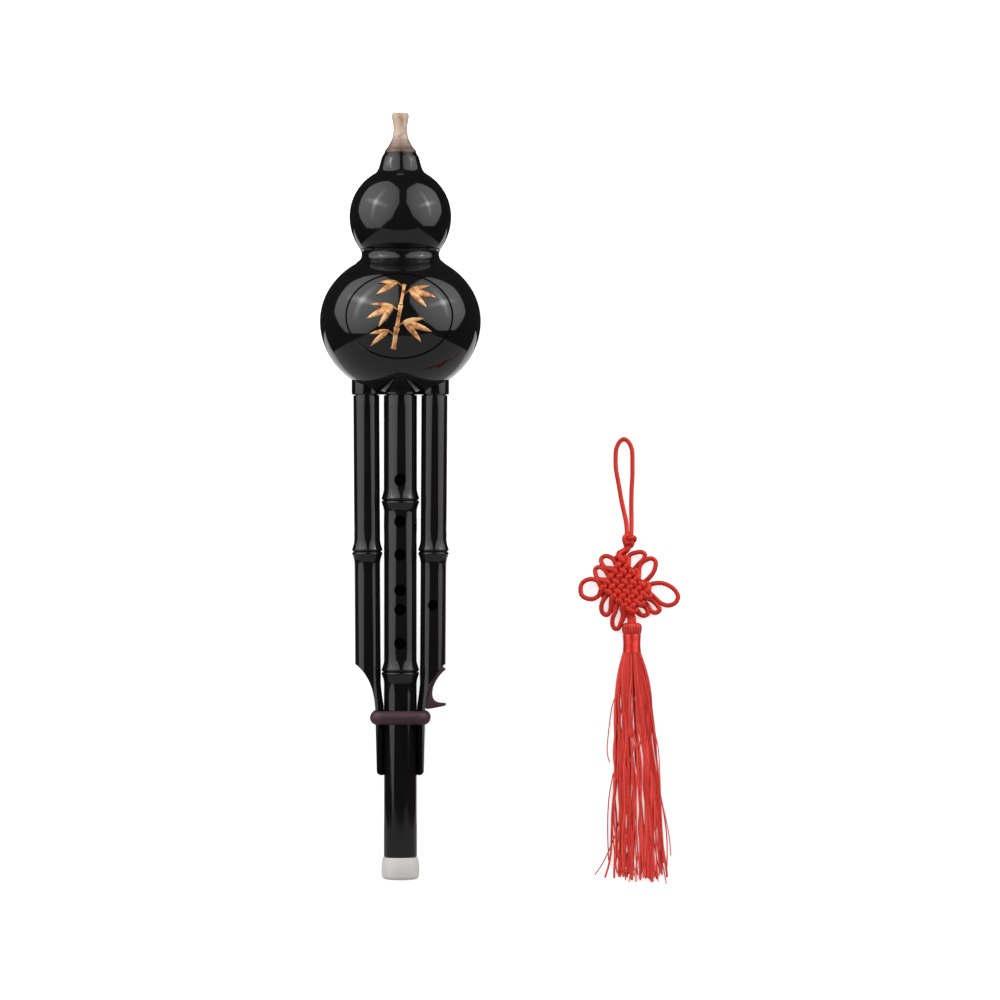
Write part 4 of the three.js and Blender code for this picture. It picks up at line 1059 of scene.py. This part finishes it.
def in_mat(point):
    """One inside the woven square of the knot, falling to nothing in the ears and the stem."""
    top, right, left = [Vector(CORNERS[name]) for name in ("top", "right", "left")]
    across, down = right - top, left - top
    offset = point.xy - top
    area = across.cross(down)
    u, v = offset.cross(down) / area, across.cross(offset) / area
    outside = max(-u, u - 1, -v, v - 1, 0.0)
    return max(0.0, 1 - outside / 0.09)


def mat_sections(path, half_height):
    """The cord is pulled flat and wide where it is woven, and stays round in the ears."""
    woven = [in_mat(p) for p in path]
    soft = []
    for i in range(len(woven)):
        near = woven[max(0, i - 3):i + 4]
        soft.append(sum(near) / len(near))
    wider, higher = MAT_HALF_WIDTH - EAR_R, half_height - EAR_R
    return [(EAR_R + wider * share, EAR_R + higher * share) for share in soft]


def mystic_knot():
    halves = [
        (half_knot(knot_place, FRONT_EARS, FRONT_Z, 1), FRONT_HALF_HEIGHT),
        (half_knot(lambda line, run: knot_place(run, line), BACK_EARS, BACK_Z, -1), BACK_HALF_HEIGHT),
    ]
    parts = []
    for points, half_height in halves:
        path = centripetal([Vector(p) for p in points], 0.5)
        parts.append(tube_data(path, mat_sections(path, half_height), 14))
    return merged("mystic_knot_cord", parts, TASSEL)


def button_knot():
    """A tight little knot of the same cord: two passes of a (2, 3) winding."""
    tipped = Matrix.Rotation(radians(20), 3, "Z") @ Matrix.Rotation(radians(28), 3, "X")
    middle, swing, rise, cord_radius = 1.95, 1.2, 1.25, 1.28
    path = []
    for t in around(150):
        ring = middle + swing * cos(3 * t)
        p = Vector((ring * cos(2 * t), ring * sin(2 * t) * 1.02, rise * sin(3 * t)))
        path.append(BUTTON_AT + tipped @ p)
    return merged("button_knot_cord", [cord_data(path, cord_radius, 14)], TASSEL)


def dome():
    """The head that the cord goes into: a gathered bundle of thread."""
    outline = bend_through([
        (1.6, -0.5), (2.6, -0.05), (4.0, -0.2), (5.0, -1.0), (5.4, -2.4), (5.3, -4.2), (5.0, -5.6),
        (4.7, -DOME_LENGTH)], 6)
    outline = [(0.0, -1.2)] + outline + [(0.0, -DOME_LENGTH)]

    def ribs(a, y):
        share = min(1.0, max(0.0, (DOME_TOP - y) / DOME_LENGTH))
        wave = 0.5 - 0.5 * cos(26 * a + 1.4 * sin(3 * a))
        return 1 - 0.045 * wave * (0.35 + 0.65 * sin(pi * share))

    return lathe("tassel_cap_bundle", [(r, DOME_TOP + y) for r, y in outline], 260, LYING, ribs)


def band():
    """A neck of tight turns of thread, a little waisted."""
    turns, radius, waisted, groove = 24, 4.95, 0.025, 0.07
    low = BAND_TOP - BAND_LENGTH
    outline = [(0.0, low)]
    for share in evenly(6 * turns):
        r = radius * (1 - waisted + waisted * cos(2 * pi * share))
        outline.append((r - groove * (0.5 - 0.5 * cos(2 * pi * turns * share)), low + BAND_LENGTH * share))
    outline.append((0.0, BAND_TOP))
    return lathe("tassel_band_winding", outline, 72, LYING)


# Clumps of the skirt: place across it from -1 to 1, and share of the threads
LANES = [
    (-0.97, 3), (-0.72, 3), (-0.54, 13), (-0.41, 20), (-0.28, 22), (-0.14, 16), (0.03, 2),
    (0.19, 6), (0.36, 17), (0.50, 21), (0.64, 21), (0.79, 14), (0.94, 8),
]

# Single threads that have come away from the skirt
STRAYS = [
    [(-5.2, -58.0, 3.0), (-7.6, -65.1, 1.2), (-9.5, -79.7, 0.4), (-10.0, -88.9, 0.4), (-8.7, -94.3, 1.0)],
    [(-1.0, -112.0, 3.5), (-2.8, -121.3, 2.0), (-6.0, -133.7, 0.4), (-11.9, -147.2, 0.4),
     (-16.8, -154.7, 0.4)],
    [(14.5, -98.0, 2.5), (17.8, -109.4, 0.8), (20.5, -120.2, 0.4), (23.2, -133.7, 0.4), (24.2, -144.5, 0.4)],
    [(16.5, -138.0, 2.0), (19.0, -147.0, 0.6), (20.6, -153.5, 0.4), (21.6, -159.6, 0.4)],
    [(-6.8, -100.0, 2.0), (-9.2, -114.0, 0.5), (-9.9, -130.0, 0.4), (-9.4, -147.0, 0.4)],
]
SKIRT_HALF, SKIRT_LENGTH, SKIRT_THREADS = 15.6, 123.0, 155

# The skirt's half width, at shares of its length below the band
SPREAD_SHARES = [
    (0.0, 0.30), (0.06, 0.45), (0.12, 0.565), (0.2, 0.66), (0.34, 0.755), (0.5, 0.835), (0.7, 0.92),
    (1.0, 1.0)]


def skirt_half(share):
    for (a, wide_a), (b, wide_b) in zip(SPREAD_SHARES, SPREAD_SHARES[1:]):
        if share <= b:
            return SKIRT_HALF * (wide_a + (wide_b - wide_a) * (share - a) / (b - a))


def lane_of(own, lanes):
    """The clump a thread falls into, by how many threads each clump holds."""
    wanted = (own + 1) / 2 * sum(lane["hold"] for lane in lanes)
    for lane in lanes:
        wanted -= lane["hold"]
        if wanted <= 0:
            return lane
    return lanes[-1]


def thread_path(rng, lanes, top):
    """One thread of the skirt: out of the band, down onto the floor, along its lane with slow waves."""
    own = rng.uniform(-1, 1)
    lane = lane_of(own, lanes)
    wanders = rng.random() < 0.2
    depth = 0.95 if wanders else rng.random()
    radius = rng.uniform(0.30, 0.40) if wanders else rng.uniform(0.46, 0.62)
    target = lane["x"] + rng.gauss(0, 0.035) + (rng.uniform(-0.4, 0.4) if wanders else 0.0)
    length = SKIRT_LENGTH * lane["long"] * rng.uniform(0.95, 1.01)
    phase, swing, pace = rng.uniform(0, 6.28), rng.uniform(0.2, 0.85), rng.uniform(8.0, 24.0)
    kick = rng.gauss(0, 0.9)
    high = DOME_R + (2 * depth - 1) * 4.2 * sqrt(max(0.0, 1 - own * own))
    path = []
    for share in evenly(48):
        gathered = min(1.0, share / 0.44) ** 1.3
        place = own * (1 - gathered) + target * gathered
        x = TASSEL_AXIS + skirt_half(share) * place + 2.0 * sin(share * pi / 2)
        x += lane["swing"] * sin(lane["phase"] + lane["pace"] * share) * gathered
        x += swing * sin(phase + pace * share) * gathered
        x += kick * max(0.0, (share - 0.86) / 0.14) ** 2
        fall = min(1.0, share / 0.42)
        fall = fall * fall * (3 - 2 * fall)
        low = radius + 0.15 + depth * (4.6 - 1.6 * share)
        z = max(high * (1 - fall) + low * fall, radius + 0.16)
        path.append(Vector((x, top - length * share, z)))
    return path, radius


def skirt():
    """Threads gathered in the band, that spread, clump and settle on the floor."""
    rng = random.Random(23)
    held, stray_radius = 0.2, 0.3
    top = BAND_TOP - BAND_LENGTH + held
    lanes = [{
        "x": x, "hold": hold, "long": rng.uniform(0.965, 1.0),
        "phase": rng.uniform(0, 6.28), "swing": rng.uniform(0.6, 1.5), "pace": rng.uniform(3.5, 8.0),
    } for x, hold in LANES]
    parts = []
    for number in range(SKIRT_THREADS):
        path, radius = thread_path(rng, lanes, top)
        parts.append(cord_data(path, radius, 7, number))
    for number, route in enumerate(STRAYS):
        path = [Vector(p) for p in bend_through(route, 10)]
        parts.append(cord_data(path, stray_radius, 6, number))
    return merged("tassel_skirt_threads", parts, TASSEL)


dress(mystic_knot(), "tassel", "red_cord", CORD, "mystic_knot")
dress(button_knot(), "tassel", "red_cord", CORD, "button_knot")
dress(dome(), "tassel", "red_cord", BUNDLE, "tassel_cap")
dress(band(), "tassel", "red_cord", WOUND, "tassel_band")
dress(skirt(), "tassel", "red_yarn", YARN, "tassel_skirt")


# Carried-over inner pieces
KEPT = [
    (SEAL, ("main_pipe_seal", "left_drone_seal", "right_drone_seal")),
    (CORK, ("main_pipe_plug", "left_drone_plug", "right_drone_plug")),
    (BRASS, ("main_reed", "right_drone_reed")),
]
for inner_material, names in KEPT:
    for name in names:
        for material_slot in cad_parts[name].material_slots:
            material_slot.material = inner_material


# Floor, softboxes, world
FLOOR_GLOW, FILL, LEFT_IN_GLOSS = 0.58, 0.54, 0.02
CLOTH_EDGE, CLOTH_MIDDLE, CLOTH_STAR = 1.2, 2.5, 3.0


def emitter(name):
    """A material that only gives light, with its tree and its emission node."""
    material, tree = new_material(name)
    tree.nodes.clear()
    light = node(tree, "ShaderNodeEmission")
    node(tree, "ShaderNodeOutputMaterial", Surface=light.outputs["Emission"])
    return material, tree, light


def cloth_glow(name, radius):
    """A softbox cloth: brighter towards its middle, with a four-armed star where the lamp sits."""
    material, tree, light = emitter(name)
    place = node(tree, "ShaderNodeTexCoord").outputs["Object"]
    length = node(tree, "ShaderNodeVectorMath", operation="LENGTH", Vector=place).outputs["Value"]
    power = spread(tree, length, 0.0, radius, CLOTH_MIDDLE, CLOTH_EDGE)
    split = node(tree, "ShaderNodeSeparateXYZ", Vector=place).outputs
    apart = [figure(tree, "ABSOLUTE", split[axis]) for axis in ("X", "Y")]
    for along, across in (apart, apart[::-1]):
        arm = figure(tree, "MULTIPLY", spread(tree, along, 0.0, 0.55 * radius, CLOTH_STAR, 0.0),
                     spread(tree, across, 0.0, 0.09 * radius, 1.0, 0.0))
        power = figure(tree, "ADD", power, arm)
    core = spread(tree, length, 0.0, 0.13 * radius, CLOTH_STAR, 0.0)
    feed(tree, light.inputs["Strength"], figure(tree, "ADD", power, core))
    return material


def seen_or_reflected(tree, seen):
    """This strength to the camera, in reflections and through clear surfaces, and none elsewhere."""
    path = node(tree, "ShaderNodeLightPath").outputs
    shown = figure(tree, "MAXIMUM", path["Is Camera Ray"], path["Is Glossy Ray"])
    return figure(tree, "MULTIPLY", figure(tree, "MAXIMUM", shown, path["Is Transmission Ray"]), seen)


def glow_in_reflections(name, strength):
    """A pale surface that shows in the gloss and to the camera, and puts no light on the object."""
    material, tree, light = emitter(name)
    feed(tree, light.inputs["Strength"], seen_or_reflected(tree, strength))
    return material


def floor_white():
    """White paper: it takes the lamps' light and the object's shadow, and glows a little to the camera."""
    material, tree = new_material("floor_white")
    surface(tree, Base_Color=(0.8, 0.8, 0.8, 1), Roughness=0.9, Specular_IOR_Level=0.0,
            Emission_Color=(1, 1, 1, 1), Emission_Strength=seen_or_reflected(tree, FLOOR_GLOW))
    return material


def studio_mesh(name, verts, material, hidden_from):
    """A flat face of the studio, which some kinds of ray pass by."""
    obj = mesh_object(name, verts, [tuple(range(len(verts)))], Matrix.Identity(4))
    obj.data.materials.append(material)
    for ray in hidden_from:
        setattr(obj, "visible_" + ray, False)
    return obj


def facing(centre, normal, up):
    """Stand a studio piece at a place in the flute's own frame, in metres."""
    aim = (TO_WORLD.to_3x3() @ Vector(normal)).normalized()
    return Matrix.Translation(TO_WORLD @ Vector(centre)) @ aim.to_track_quat("Z", up).to_matrix().to_4x4()


def softbox(name, centre, normal, radius):
    """An eight-sided softbox."""
    eighth = pi / 4
    verts = [Vector((radius * cos(a + eighth / 2), radius * sin(a + eighth / 2), 0)) for a in around(8)]
    obj = studio_mesh(name, verts, cloth_glow(name, radius), ["camera"])
    obj.matrix_world = facing(centre, normal, "Y")


def rectangle(half_x, half_y):
    return [Vector((x * half_x, y * half_y, 0)) for x, y in ((-1, -1), (1, -1), (1, 1), (-1, 1))]


def panel(name, centre, normal, half_x, half_y, glow, *hidden_from):
    """A pale board of the surround that the gloss reflects."""
    material = glow_in_reflections(name + "_glow", glow)
    obj = studio_mesh(name, rectangle(half_x, half_y), material, ["camera", *hidden_from])
    obj.matrix_world = facing(centre, normal, "X")


def studio_world():
    """White to the camera, a weak even fill for surfaces, and nearly dark in reflections."""
    world = bpy.data.worlds.new("studio")
    bpy.context.scene.world = world
    world.use_nodes = True
    tree = world.node_tree
    tree.nodes.clear()
    path = node(tree, "ShaderNodeLightPath").outputs
    filled = spread(tree, path["Is Diffuse Ray"], 0.0, 1.0, LEFT_IN_GLOSS, FILL)
    strength = figure(tree, "ADD", path["Is Camera Ray"], filled)
    sky = node(tree, "ShaderNodeBackground", Color=(1, 1, 1, 1), Strength=strength)
    node(tree, "ShaderNodeOutputWorld", Surface=sky.outputs["Background"])


softbox("softbox_left", (-0.4876, 0.3473, 0.2625), (-0.7579, 0.4355, 0.4857), 0.766)
softbox("softbox_right", (0.6185, 0.3442, 0.2245), (0.7802, 0.4524, 0.4320), 0.706)
panel("table_edge", (0, -0.305, 0), (0, 1, 0), 0.6, 0.6, 0.42, "shadow", "diffuse")
panel("backdrop", (0, -0.72, -1.2), (0, 0, 1), 0.6, 1.0, 1.0)
studio_mesh("floor", rectangle(6, 6), floor_white(), ["glossy", "diffuse", "transmission", "shadow"])
studio_world()

bpy.context.scene.view_settings.view_transform = "Standard"
